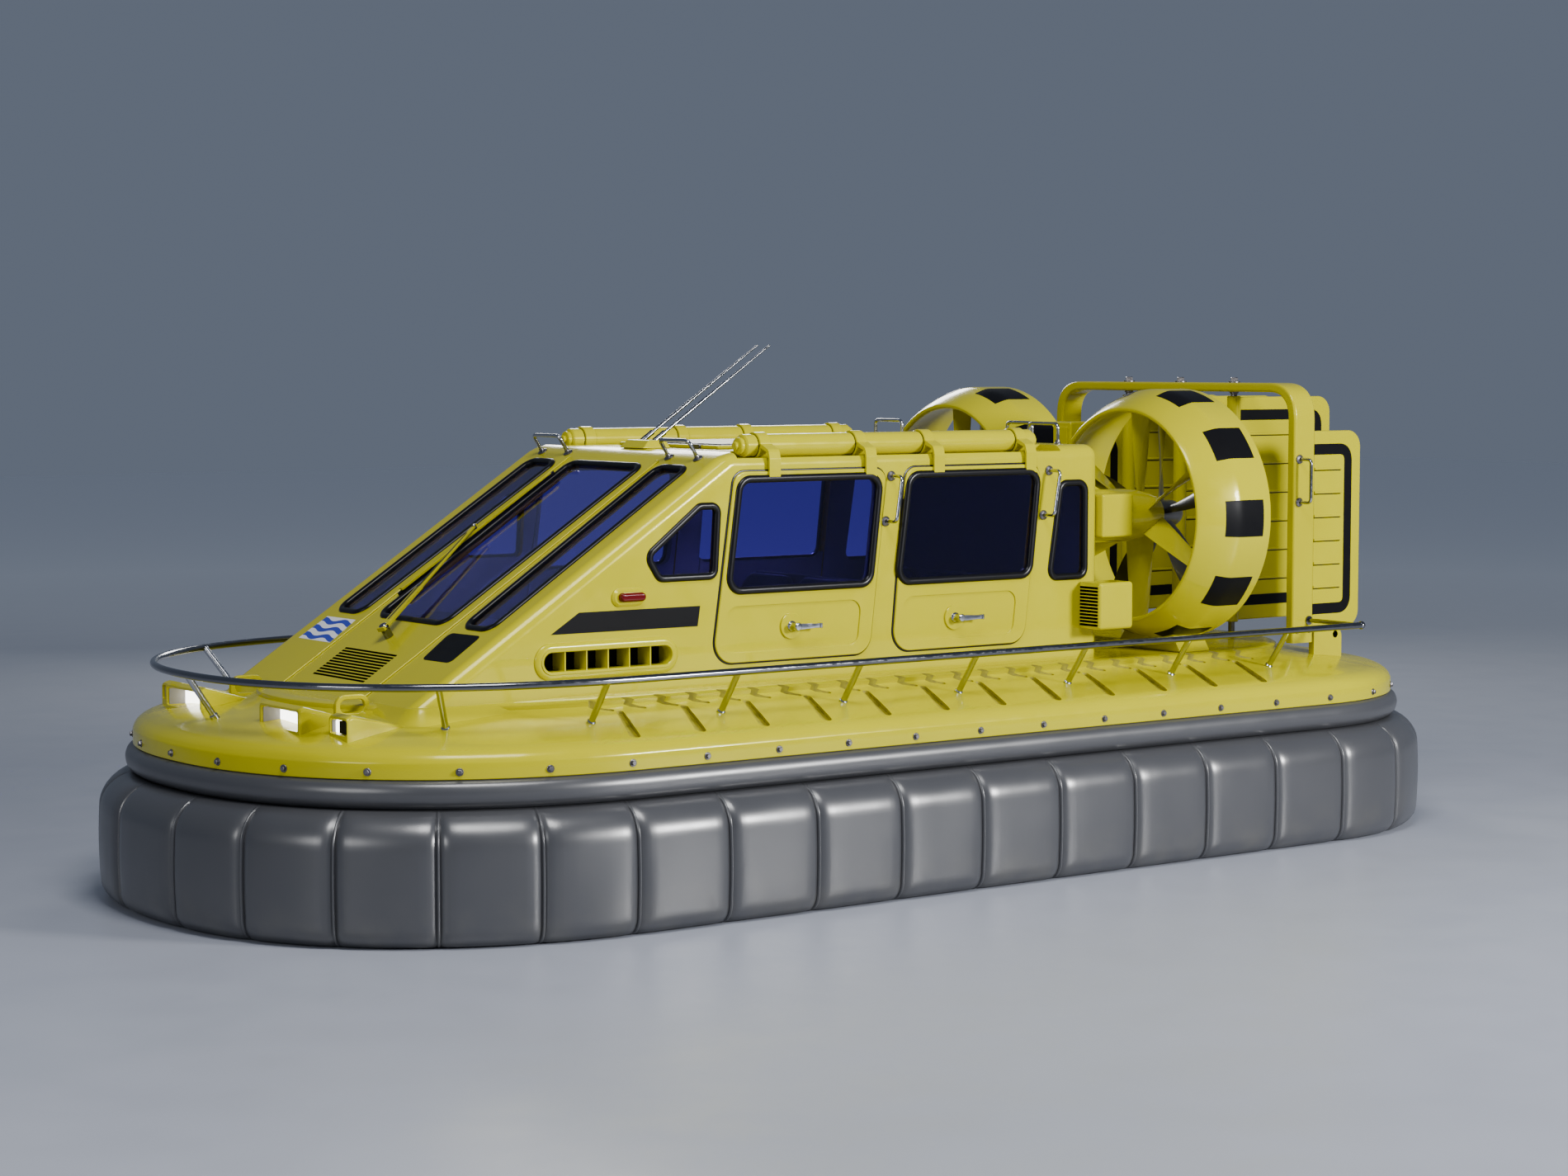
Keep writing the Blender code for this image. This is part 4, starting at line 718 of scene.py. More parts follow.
def tread_slot(bm, start, end, width, tip):
    """A wedge along a slot that narrows to a tip: deep at its rear edge, shallow at its forward edge."""
    start, end = Vector(start), Vector(end)
    along = (end - start).normalized()
    ahead = Vector((along.y, -along.x)) * math.copysign(1.0, along.y)
    length = (end - start).length
    corners = [(0, -tip / 2, tip * 0.45), (length, -width / 2, width * 0.45),
               (length, width / 2, width * 0.45), (0, tip / 2, tip * 0.45)]
    low, high = [], []
    for u, v in rounded(corners, 0.01, 4):
        spot = start + along * u + ahead * v
        ground = deck_height(spot.y)
        low.append((spot.x, spot.y, ground - SLOT_DEPTH * (0.60 - 0.80 * v / width)))
        high.append((spot.x, spot.y, ground + 0.08))
    # The wedge's faces get finish 3, the painted shade of the slots
    stack(bm, [low, high], finish=3)


cutter = bmesh.new()
block(cutter, *CABIN_WELL, finish=1)
block(cutter, *ENGINE_BAY, finish=2)
# Columns: start and end, both ahead of the group's place and across, width, width of the tip
slot_shapes = [((-0.012, 1.272), (0.19, 1.735), 0.064, 0.040), ((0.13, 1.185), (0.012, 1.262), 0.040, 0.024),
               ((-0.08, 1.185), (-0.198, 1.262), 0.040, 0.024)]
for side in (-1, 1):
    for group in range(SLOT_GROUPS):
        x = 2.16 - SLOT_PITCH * group
        for start, end, width, tip in slot_shapes:
            tread_slot(cutter, (x + start[0], side * start[1]), (x + end[0], side * end[1]), width, tip)
dress(cut(deck, cutter, gelcoat, cabin_lining, engine_paint, slot_painted_shade), stands_for=["hull_and_deck"])
print("Tread slots:", 2 * SLOT_GROUPS * len(slot_shapes))

# %% [markdown]
# The bow carries four lamps in cowls, which are short square funnels that run back down into the deck. Each
# cowl is a loft of rounded squares, turned back in on itself at the mouth. A wide cowl holds a white lens, and a
# narrow one holds a small lens with a black block beside it, painted shade for the dark inside of the cowl.

# %% Lamp cowls
cowls, lenses = bmesh.new(), bmesh.new()
# Columns: mouth x, y, width, height, length, depth of the mouth, share of its width that the lens takes
lamps = [(3.84, 0.58, 0.46, 0.190, 0.50, 0.115, 1.0), (3.72, 1.01, 0.20, 0.165, 0.46, 0.042, 0.3)]
for x, y, width, height, length, depth, lit in lamps:
    top, narrow = 1.00 + height, 1 - 0.56 * depth / length - 0.016 / (width / 2)
    # Columns: distance behind the mouth, share of the width, foot z, top z, corner radius
    shape = [(length, 0.44, 1.00, 1.058, 0.008), (0.036, 0.97, 1.00, top, 0.022),
             (0.010, 1.0, 1.00, top - 0.008, 0.024), (0.0, 0.985, 1.005, top - 0.014, 0.024),
             (0.0, 0.915, 1.058, top - 0.026, 0.016), (0.004, 0.90, 1.060, top - 0.028, 0.014),
             (depth, narrow, 1.060, top - 0.036, 0.010)]
    back, half = x - depth, width * narrow / 2
    split = y - half + 2 * half * lit
    for side in (-1, 1):
        loops = []
        for behind, share, low, high, radius in shape:
            left, right = side * y - width * share / 2, side * y + width * share / 2
            corners = rectangle(left, right, low, high)
            loops.append([(x - behind, point.x, point.y) for point in rounded(corners, radius, 4)])
        stack(cowls, loops)
        for way in (-1, 1):
            hull_block(cowls, [(place, side * y + way * (reach - wall), z)
                               for place, reach in ((x - 0.012, width * 0.447), (back, half + 0.002))
                               for wall in (0.0, 0.005) for z in (1.05, top - 0.036)], finish=2)
        block(lenses, (back - 0.004, side * (y - half), 1.062), (back + 0.014, side * split, top - 0.038),
              0.005)
        # Beside a small lens, a black block paints the shade inside the narrow cowl
        if lit < 1.0:
            block(cowls, (back - 0.004, side * split, 1.062), (back + 0.018, side * (y + half), top - 0.038),
                  finish=1)
dress(link("lamp_cowls", cowls, gelcoat, black_film_and_painted_shade, cabin_lining), stands_for=["hull_and_deck"], sharp=25)
dress(link("lamp_lenses", lenses, lamp_lens), slot="polished_steel")

# %% [markdown]
# Ropes are made fast to two moulded tabs on the foredeck, each with a long hole, and to two lugs at the stern.

# %% Mooring tabs and stern lugs
bm, hole = bmesh.new(), bmesh.new()
for side in (-1, 1):
    tab = [(3.328, 1.04, 0.01), (3.532, 1.04, 0.01), (3.532, 1.218, 0.060), (3.328, 1.218, 0.060)]
    plate(bm, rounded(tab, 0.01, 8), -0.015, 0.015, side_plane(side * 0.62))
plate(hole, rounded(rectangle(3.356, 3.504, 1.118, 1.190), 0.034, 8), -1.0, 1.0, side_plane(0.0))
tabs = soften(cut(link("mooring_tabs", bm, gelcoat), hole, gelcoat), 0.006, 3)
dress(tabs, stands_for=["hull_and_deck"])

bm, hole = bmesh.new(), bmesh.new()
for side in (-1, 1):
    lug = [(-3.62, 1.02, 0.01), (-3.36, 1.02, 0.01), (-3.36, 1.2497, 0.02), (-3.62, 1.2497, 0.06)]
    plate(bm, rounded(lug, 0.01, 5), -0.025, 0.025, side_plane(side * 1.12))
drum(hole, 0.022, -1.4, 1.4, Matrix.Translation((-3.56, 0.0, 1.205)) @ Matrix.Rotation(math.pi / 2, 4, "X"))
lugs = soften(cut(link("stern_lugs", bm, gelcoat), hole, black_film_and_painted_shade), 0.006)
dress(lugs, stands_for=["hull_and_deck"])

# %% [markdown]
# ## Cabin
# The cabin is one moulding: a slope from bonnet to roof, flat sides, a flat roof and a rear wall, all with soft
# edges. It is made as a rounded block with a smaller dark block cut out of it, which leaves a wall with a
# lining, and with windows, doorways, grille and vents cut through. The two walls are the same, so one long
# cutter goes through both of them.

# %% The cabin's block and its lining
HALF_WIDTH, ROOF_Z, REAR_X = 1.05, 2.48, -1.56
PLATEAU_Z = 1.1653  # just over the deck's flat middle, so that pieces stand on it with a hair's gap


def cabin_block(roof_wall, wall, foot_z, radius, segments):
    """The cabin's outline as a block moved inwards, with rounded edges except at its foot."""
    shift = wall / math.sin(SCREEN_SLOPE)
    roof = ROOF_Z - roof_wall
    foot_x = SCREEN_FOOT.x + (SCREEN_FOOT.z - foot_z) / math.tan(SCREEN_SLOPE) - shift
    crease_x = SCREEN_FOOT.x - (roof - SCREEN_FOOT.z) / math.tan(SCREEN_SLOPE) - shift
    outline = [(foot_x, foot_z), (crease_x, roof), (REAR_X + wall, roof), (REAR_X + wall, foot_z)]
    bm = bmesh.new()
    plate(bm, outline, wall - HALF_WIDTH, HALF_WIDTH - wall, side_plane(0.0))
    bmesh.ops.recalc_face_normals(bm, faces=bm.faces)
    soft = [edge for edge in bm.edges if any(vert.co.z > foot_z + 0.001 for vert in edge.verts)]
    bmesh.ops.bevel(bm, geom=soft, offset=radius, segments=segments, profile=0.5, affect="EDGES")
    return bm


shell = link("cabin_shell", cabin_block(0.0, 0.0, PLATEAU_Z, 0.08, 10), gelcoat)
cut(shell, cabin_block(0.075, 0.05, 0.96, 0.04, 4), cabin_lining)

# %% Openings, as corners with their radius
DOORS = {
    "front": [(0.26, 1.29, 0.12), (1.38, 1.29, 0.12), (1.223, 2.37, 0.08), (0.129, 2.37, 0.08)],
    "rear": [(-0.93, 1.29, 0.12), (0.09, 1.29, 0.12), (-0.012, 2.37, 0.08), (-1.062, 2.37, 0.08)]}
DOOR_WINDOWS = {
    "front": [(0.262, 1.70), (1.272, 1.70), (1.187, 2.325), (0.185, 2.325)],
    "rear": [(-0.965, 1.70), (0.050, 1.70), (-0.040, 2.325), (-1.035, 2.325)]}
DOOR_STRAPS = {"front": (0.955, 0.259), "rear": (-0.251, -0.969)}
STRAP_PLACES = [x for pair in DOOR_STRAPS.values() for x in pair]
NOSE_WINDOW = [(1.36, 1.79, 0.04), (1.73, 1.79, 0.05), (1.81, 1.915, 0.05), (1.46, 2.18, 0.05),
               (1.335, 2.18, 0.04)]
REAR_WINDOW = [(-1.43, 1.675), (-1.145, 1.675), (-1.236, 2.245), (-1.43, 2.245)]
CENTRE_PANE = [(-0.365, 0.00), (0.365, 0.00), (0.38, 1.565), (-0.38, 1.565)]
SIDE_PANE = [(0.59, 0.00), (0.86, 0.00), (0.84, 1.565), (0.55, 1.565)]
PANES = [CENTRE_PANE, SIDE_PANE, [(-y, up) for y, up in reversed(SIDE_PANE)]]
TUBE_Y, TUBE_Z = 0.912, 2.511


def door_outline(name, inset, top_radius):
    """A door's outline made smaller all round, with its own radius at the two upper corners."""
    corners = grown(DOORS[name], -inset)
    return [(x, z, top_radius if z > 2.27 else radius) for x, z, radius in corners]


# %% Cut the openings
VENT_REAR, VENT_FRONT, VENT_LOW, VENT_HIGH = 1.662, 2.500, 1.312, 1.418
VENT_CELLS, GRILLE_SLOTS = 6, 11
cell_pitch = (VENT_FRONT - VENT_REAR) / VENT_CELLS
cutter = bmesh.new()
for name in DOORS:
    plate(cutter, rounded(door_outline(name, 0.012, 0.05), 0.1), -1.3, 1.3, side_plane(0.0))
for corners in (NOSE_WINDOW, REAR_WINDOW):
    plate(cutter, rounded(corners, 0.05), -1.3, 1.3, side_plane(0.0))
for pane in PANES:
    plate(cutter, rounded(pane, 0.07), -0.15, 0.15, SCREEN_PLANE)
# The grille's slots get black faces: painted shade for the dark gaps between the bars
for slot in range(GRILLE_SLOTS):
    low = -0.560 + slot * 0.265 / GRILLE_SLOTS
    plate(cutter, rectangle(-0.295, 0.295, low, low + 0.0155), -0.035, 0.05, SCREEN_PLANE, finish=1)
for side in (-1, 1):
    for cell in range(VENT_CELLS):
        rear, front = VENT_REAR + cell * cell_pitch + 0.005, VENT_REAR + (cell + 1) * cell_pitch - 0.005
        # The row of cells ends in half-rounds
        at_rear, at_front = 0.045 if cell == 0 else 0.004, 0.045 if cell == VENT_CELLS - 1 else 0.004
        corners = [(rear, VENT_LOW, at_rear), (front, VENT_LOW, at_front), (front, VENT_HIGH, at_front),
                   (rear, VENT_HIGH, at_rear)]
        plate(cutter, rounded(corners, 0.01, 6), -0.060, 0.10, side_plane(side * HALF_WIDTH))
cut(shell, cutter, gelcoat, black_film_and_painted_shade)
print("Cut:", 2 * len(DOORS) + 4 + len(PANES), "openings,", GRILLE_SLOTS, "slots,", 2 * VENT_CELLS, "cells")

# %% Ledges for the roof tubes
ledge, groove = bmesh.new(), bmesh.new()
for side in (-1, 1):
    block(ledge, (-1.24, side * 0.845, 2.4447), (1.19, side * 1.2, 2.6))
    for x in STRAP_PLACES:
        drum(groove, 0.084, -0.045, 0.045, line_along(side * TUBE_Y, TUBE_Z, x), 32)
cut(shell, ledge, gelcoat)
cut(shell, groove, gelcoat)
dress(shell, stands_for=["cabin_nose", "cabin_roof", "cabin_rear_wall", "cabin_side_port",
                         "cabin_side_starboard"])

# %% [markdown]
# The cabin stands on a coaming, a low flared foot moulded in one with the deck. It closes the wedge between the
# flat foot of the bonnet and the deck that falls away towards the bow.

# %% Coaming
foot_x = SCREEN_FOOT.x + (SCREEN_FOOT.z - 1.165) / math.tan(SCREEN_SLOPE)
outline = rectangle(REAR_X, foot_x, -HALF_WIDTH, HALF_WIDTH, 0.08)
flare = ((0.130, 1.030), (0.075, 1.085), (0.035, 1.128), (0.014, 1.155), (0.006, 1.164), (-0.010, 1.168))
bm, well = bmesh.new(), bmesh.new()
stack(bm, [[(*point, z) for point in rounded(grown(outline, grow), 0.08, 10)] for grow, z in flare])
block(well, *CABIN_WELL)
dress(cut(link("coaming", bm, gelcoat), well, cabin_lining), stands_for=["hull_and_deck"])

# %% Seals round the doorways, black beads made wide enough to also paint the shadow gap round each door
bm = bmesh.new()
for side in (-1, 1):
    for name in DOORS:
        outline = rounded(DOORS[name], 0.1, 12)
        bead(bm, outline, 0.011, 0.005, side_plane(side * HALF_WIDTH), sink=0.004, steps=4)
dress(link("door_seals", bm, gasket_rubber), slot="dark_resin")

# %% [markdown]
# Every window sits in a black rubber gasket, a half-round bead pressed over the edge of the glass. The glass
# itself is the plain solid of the frame, which is right as it is and only needs its finish.

# %% Glass and gaskets
def gasket(bm, corners, radius, matrix, half_width=0.021, shift=0.003):
    """A rubber bead round a window, sunk into its edge."""
    bead(bm, rounded(corners, radius), half_width, 0.016, matrix, shift, sink=0.014)


def paint(name, finish):
    """Gives a plain solid its finish."""
    mesh = frame["nodes"][name].data
    mesh.materials.clear()
    mesh.materials.append(finish)


glass_nodes = [name for name in frame["nodes"] if "window" in name or "windscreen" in name or "glass" in name]
for name in glass_nodes:
    paint(name, tinted_glass)
bm = bmesh.new()
for pane in PANES:
    gasket(bm, pane, 0.07, SCREEN_PLANE, shift=0.002)
for side in (-1, 1):
    for corners in (NOSE_WINDOW, REAR_WINDOW):
        gasket(bm, corners, 0.05, side_plane(side * HALF_WIDTH))
dress(link("window_gaskets", bm, gasket_rubber), slot="dark_resin")
print("Panes:", len(glass_nodes))

# %% [markdown]
# ## Doors
# The four doors are gull wings. Each one hangs from clamps that turn round a tube along the roof. A door is a
# slab that lies over its opening, with a rounded shadow gap, and a smaller block that fills the opening behind
# it. Slab, block, clamps and handle are made once for port and mirrored, and each set rides on its own door.

# %% Helpers for doors
def merge(name, objects, *finishes):
    """One object made of the meshes of several, each with the number of its finish."""
    bm = bmesh.new()
    for obj, finish in objects:
        part = bmesh.new()
        part.from_mesh(obj.data)
        paste(bm, part, finish=finish)
        bpy.data.objects.remove(obj)
    return link(name, bm, *finishes)


def mirrored(obj, name):
    """The same piece on the other side of the centreline."""
    copy = bpy.data.objects.new(name, obj.data.copy())
    copy.data.transform(Matrix.Scale(-1.0, 4, (0.0, 1.0, 0.0)))
    copy.data.flip_normals()
    bpy.context.scene.collection.objects.link(copy)
    return copy


def pair(obj, name, bodies=("craft", "craft"), stands_for=(), **facts):
    """Dresses a port piece and its mirror image; solids named with port become starboard ones."""
    other = mirrored(obj, name + "_starboard")
    obj.name = name + "_port"
    dress(obj, bodies[0], stands_for=stands_for, **facts)
    dress(other, bodies[1], stands_for=[solid.replace("port", "starboard") for solid in stands_for], **facts)


# %% Door slabs, blocks and clamps
FACE_Y = 1.066
DOOR_PANELS = {
    "front": [(0.350, 1.347), (1.312, 1.347), (1.274, 1.610), (0.320, 1.610)],
    "rear": [(-0.838, 1.347), (0.025, 1.347), (0.000, 1.610), (-0.870, 1.610)]}
door_side = side_plane(HALF_WIDTH)
for name in DOORS:
    window = rounded(DOOR_WINDOWS[name], 0.075)
    bm, opening = bmesh.new(), bmesh.new()
    plate(bm, rounded(DOORS[name], 0.1, 12), 0.0003, FACE_Y - HALF_WIDTH, door_side)
    slab = soften(link("slab", bm, gelcoat), 0.007, 4)
    plate(opening, window, -0.1, 0.1, door_side)
    plate(opening, rounded(DOOR_PANELS[name], 0.07, 10), FACE_Y - HALF_WIDTH - 0.009, 0.1, door_side)
    slab = soften(cut(slab, opening, gelcoat), 0.0018, 2, 50)

    bm, opening, swing = bmesh.new(), bmesh.new(), bmesh.new()
    plate(bm, rounded(door_outline(name, 0.022, 0.110), 0.1), -0.05, 0.0005, door_side)
    filling = link("filling", bm, cabin_lining)
    plate(opening, window, -0.1, 0.1, door_side)
    cut(filling, opening, cabin_lining)
    drum(swing, 0.213, -2.0, 2.0, line_along(TUBE_Y, TUBE_Z), 96)
    cut(filling, swing, cabin_lining)

    bm = bmesh.new()
    for x in DOOR_STRAPS[name]:
        clamp = [(0.0667, -0.039), (0.074, -0.039), (0.078, -0.035), (0.078, 0.035), (0.074, 0.039),
                 (0.0667, 0.039)]
        lathe(bm, clamp, line_along(TUBE_Y, TUBE_Z, x), 48)
        strap = [(0.972, 2.533, 0.01), (1.066, 2.490, 0.03), (1.080, 2.440, 0.02), (1.080, 2.318, 0.004),
                 (1.060, 2.315, 0.003), (1.060, 2.362, 0.003), (1.068, 2.362, 0.003), (1.068, 2.436, 0.012),
                 (1.052, 2.476, 0.02), (0.986, 2.500, 0.01)]
        plate(bm, rounded(strap, 0.003, 4), -0.039, 0.039, cross_plane(x))
    straps = link("straps", bm, gelcoat)
    door = merge("door", [(slab, 0), (filling, 1), (straps, 0)], gelcoat, cabin_lining)
    bodies = (name + "_port_door", name + "_starboard_door")
    pair(door, "door_" + name + "_dressed", bodies, ["door_" + name + "_port"])
    bm = bmesh.new()
    gasket(bm, DOOR_WINDOWS[name], 0.075, side_plane(FACE_Y), 0.022)
    pair(link("gasket", bm, gasket_rubber), "door_gasket_" + name, bodies, slot="dark_resin")

# %% [markdown]
# Each door has a round plate with a chrome lever on a short turned hub. The lever is a flat bar that tapers
# and has a block for its bent end.

# %% Door levers
for name, x, z in (("front", 0.830, 1.480), ("rear", -0.383, 1.469)):
    bodies = (name + "_port_door", name + "_starboard_door")
    out = side_plane(FACE_Y - 0.009) @ Matrix.Translation((x, z, 0.0))
    bm = bmesh.new()
    lathe(bm, [(0.0, 0.0), (0.075, 0.0), (0.075, 0.009), (0.072, 0.012), (0.0, 0.0125)], out, 48)
    pair(link("plate", bm, gelcoat), "lever_plate_" + name, bodies)
    bm = bmesh.new()
    lathe(bm, [(0.0, 0.0), (0.031, 0.006), (0.031, 0.016), (0.022, 0.020), (0.018, 0.030), (0.018, 0.058),
               (0.024, 0.060), (0.024, 0.078), (0.020, 0.083), (0.0, 0.083)], out, 28)
    grip = [(0.0, 0.019), (-0.125, 0.012), (-0.168, 0.014), (-0.168, -0.014), (-0.125, -0.013), (0.0, -0.019)]
    plate(bm, grip, 0.062, 0.076, out)
    block(bm, (-0.171, -0.015, 0.054), (-0.156, 0.015, 0.081), 0.003, matrix=out)
    pair(soften(link("lever", bm, bright_steel), 0.0025, 2), "lever_" + name, bodies, slot="polished_steel")

# %% [markdown]
# ## On the roof
# The hinge tubes run along both edges of the roof and end in stepped caps. Thin dark rings mark where the door
# clamps turn on them.

# %% Roof tubes
TUBE_REAR, TUBE_FRONT = -1.134, 1.125
bm = bmesh.new()
half = (TUBE_FRONT - TUBE_REAR) / 2
cap = [(0.0, 0.0), (0.020, 0.0), (0.025, 0.004), (0.025, 0.020), (0.044, 0.022), (0.049, 0.027), (0.049, 0.047),
       (0.058, 0.049), (0.066, 0.057)]
profile = [(radius, half - back) for radius, back in cap]
profile += [(radius, back - half) for radius, back in reversed(cap)]
lathe(bm, profile, line_along(TUBE_Y, TUBE_Z, (TUBE_FRONT + TUBE_REAR) / 2), 48)
for x in STRAP_PLACES:
    for edge in (-0.0425, 0.0425):
        ring = [(0.060, -0.0022), (0.0672, -0.0022), (0.0672, 0.0022), (0.060, 0.0022)]
        lathe(bm, ring, line_along(TUBE_Y, TUBE_Z, x + edge), 48, finish=1)
pair(link("tube", bm, gelcoat, black_film_and_painted_shade), "roof_tube_dressed", stands_for=["roof_tube_port"])

# %% Roof hatches and antennas
bm = bmesh.new()
top = ROOF_Z + 0.0003
for x in (0.50, -0.50):
    block(bm, (x - 0.46, -0.52, top), (x + 0.46, 0.52, top + 0.022), 0.007)
    block(bm, (x - 0.40, -0.46, top + 0.012), (x + 0.40, 0.46, top + 0.030), 0.006, finish=1)
    for y in (-0.30, 0.30):
        block(bm, (x + 0.44, y - 0.05, top), (x + 0.475, y + 0.05, top + 0.026), 0.005, finish=1)
block(bm, (-0.06, -0.30, top), (0.06, 0.30, top + 0.020), 0.006, finish=1)
dress(link("roof_hatches_dressed", bm, gelcoat, dark_composite), slot="dark_resin", stands_for=["roof_hatches"])

bm = bmesh.new()
foot = [(x, y, top) for x in (1.02, 1.22) for y in (-0.13, 0.13)]
hull_block(bm, foot + [(x, y, top + 0.048) for x in (1.05, 1.17) for y in (-0.115, 0.115)], 0.008)
for side in (-1, 1):
    start, tip = Vector((1.10, side * 0.063, top + 0.040)), Vector((0.25, side * 0.063, 3.089))
    socket, joint = start.lerp(tip, 0.09), start.lerp(tip, 0.40)
    pipe(bm, [start, socket], 0.016, finish=1, sides=16)
    pipe(bm, [socket, joint], 0.0095, finish=1, sides=12)
    pipe(bm, [joint, tip], 0.0085, finish=1, sides=12, end_radius=0.0055)
dress(link("antennas", bm, gelcoat, polished_steel), stands_for=["antenna_set"])

# %% [markdown]
# Grab handles are bars of polished tube bent twice, each on two round flanges. There are handles above the
# windscreen, on the roof, on the door pillars and on the arch.

# %% Grab handles
def grab(bm, foot, other, out, radius=0.011, flange=0.030):
    """A bar from one foot to the other that stands off by a vector, on dark flanges."""
    foot, other, out = Vector(foot), Vector(other), Vector(out)
    pipe(bm, bent([foot, foot + out, other + out, other], 0.032), radius, sides=16)
    profile = [(0.0, -0.002), (flange, -0.002), (flange, 0.006), (flange * 0.8, 0.010),
               (radius * 1.35, 0.014), (radius * 1.2, 0.026), (0.0, 0.026)]
    for point in (foot, other):
        lathe(bm, profile, Matrix.Translation(point) @ facing(out), 20, finish=1)


bm = bmesh.new()
for side in (-1, 1):
    feet = [SCREEN_PLANE @ Vector((side * y, 1.66, 0.0)) for y in (0.54, 0.83)]
    grab(bm, *feet, OFF_SLOPE * 0.125)
    for feet in (((0.092, 2.322), (0.133, 2.058)), ((-1.135, 2.328), (-1.090, 2.058))):
        grab(bm, *((x, side * HALF_WIDTH, z) for x, z in feet), (0.0, side * 0.105, 0.0))
# Columns: x, first y, second y
for x, low, high in ((-1.40, 0.56, 0.83), (-1.27, -0.83, -0.55), (-1.46, 0.28, 0.52)):
    grab(bm, (x, low, ROOF_Z), (x, high, ROOF_Z), (0.0, 0.0, 0.125), flange=0.020)
dress(link("cabin_handles", bm, bright_steel, bolt_steel), slot="polished_steel")

# %% [markdown]
# ## On the bonnet and the sides
# Raised ribs run down the pillars between the panes. Under them sit a plain blue and white flag of waves, a
# blank black badge, a slotted grille and, on each side, a blank black strip, a red marker lamp and an air vent.

# %% Ribs on the slope
bm = bmesh.new()
for side in (-1, 1):
    rib = rectangle(side * 0.475 - 0.014, side * 0.475 + 0.014, -0.93, 1.62)
    plate(bm, rib, -0.004, 0.010, SCREEN_PLANE)
dress(soften(link("slope_ribs", bm, gelcoat), 0.008, 4))

# %% [markdown]
# The flag is a thin film. Its waves are bands of blue and white whose edges follow a sine, which is a small
# sum in the shader: the place along the craft plus a sine of the place across, cut off at half.

# %% Flag, badge and strips
flag_film, tree, shader = principled("flag_film", (0.9, 0.9, 0.9), 0.3, Coat_Weight=0.3)
place = tree.nodes.new("ShaderNodeTexCoord")
axes = tree.nodes.new("ShaderNodeSeparateXYZ")
tree.links.new(place.outputs["Object"], axes.inputs["Vector"])


def math_node(operation, first, second):
    """A sum in the flag's shader; each input is a number or another node's output."""
    made = tree.nodes.new("ShaderNodeMath")
    made.operation = operation
    for socket, value in zip(made.inputs, (first, second)):
        if isinstance(value, (int, float)):
            socket.default_value = value
        else:
            tree.links.new(value, socket)
    return made.outputs["Value"]


# A wave's rate in radians per metre, its height, and the pitch of the bands in metres
WAVE_RATE, WAVE_HEIGHT, BAND_PITCH = 27.0, 0.011, 0.060
swell = math_node("SINE", math_node("MULTIPLY", axes.outputs["Y"], WAVE_RATE), 0.0)
rise = math_node("ADD", axes.outputs["X"], math_node("MULTIPLY", swell, WAVE_HEIGHT))
band = math_node("FRACT", math_node("MULTIPLY", rise, 1 / BAND_PITCH), 0.0)
blue = math_node("GREATER_THAN", band, 0.5)
tree.links.new(blend_colors(tree, blue, (0.88, 0.88, 0.90), (0.015, 0.035, 0.42)), shader.inputs["Base Color"])

bm = bmesh.new()
banner = [(-0.895, -0.289), (-0.518, -0.289), (-0.545, -0.070), (-0.880, -0.072)]
plate(bm, banner, -0.002, 0.0015, SCREEN_PLANE)
dress(link("flag", bm, flag_film), slot="gelcoat")
bm = bmesh.new()
badge = [(0.571, -0.308), (0.862, -0.304), (0.850, -0.058), (0.528, -0.066)]
strip = [(2.444, 1.513), (2.261, 1.626), (1.456, 1.625), (1.474, 1.511)]
plate(bm, rounded(badge, 0.035), -0.002, 0.0015, SCREEN_PLANE)
for side in (-1, 1):
    plate(bm, strip, -0.002, 0.0012, side_plane(side * HALF_WIDTH))
dress(link("badge_and_strips", bm, black_film_and_painted_shade), slot="dark_resin")

# %% Side vents and marker lamps
# Growth of the outline and height over the side, for a ring that swells up and turns in at the opening
vent_ring = smooth([(0.050, -0.003), (0.048, 0.008), (0.032, 0.018), (0.018, 0.020)], 3)
vent_ring += [(0.014, 0.026), (0.004, 0.026), (0.0, 0.022), (0.0, -0.002)]
opening = rectangle(VENT_REAR, VENT_FRONT, VENT_LOW, VENT_HIGH)
opening = rounded(opening, (VENT_HIGH - VENT_LOW) / 2 - 0.001, 12)
rear, front, low, high = VENT_REAR - 0.006, VENT_FRONT + 0.006, VENT_LOW - 0.006, VENT_HIGH + 0.006
bm = bmesh.new()
for side in (-1, 1):
    face = side_plane(side * HALF_WIDTH)
    moulding(bm, opening, vent_ring, face)
    for cell in range(1, VENT_CELLS):
        x = VENT_REAR + cell * cell_pitch
        block(bm, (x - 0.004, VENT_LOW - 0.002, -0.11), (x + 0.004, VENT_HIGH + 0.002, 0.014), matrix=face)
    # Each vent has a deep box behind it; its back and its top and bottom walls are black, painted shade for the
    # dark inside
    for z in (low, VENT_HIGH):
        block(bm, (rear, z, -0.11), (front, z + 0.006, -0.04), finish=1, matrix=face)
    for x in (rear, VENT_FRONT):
        block(bm, (x, low, -0.11), (x + 0.006, high, -0.04), matrix=face)
    block(bm, (rear, low, -0.114), (front, high, -0.108), finish=1, matrix=face)
dress(link("side_vents", bm, gelcoat, black_film_and_painted_shade), stands_for=["cabin_nose"])

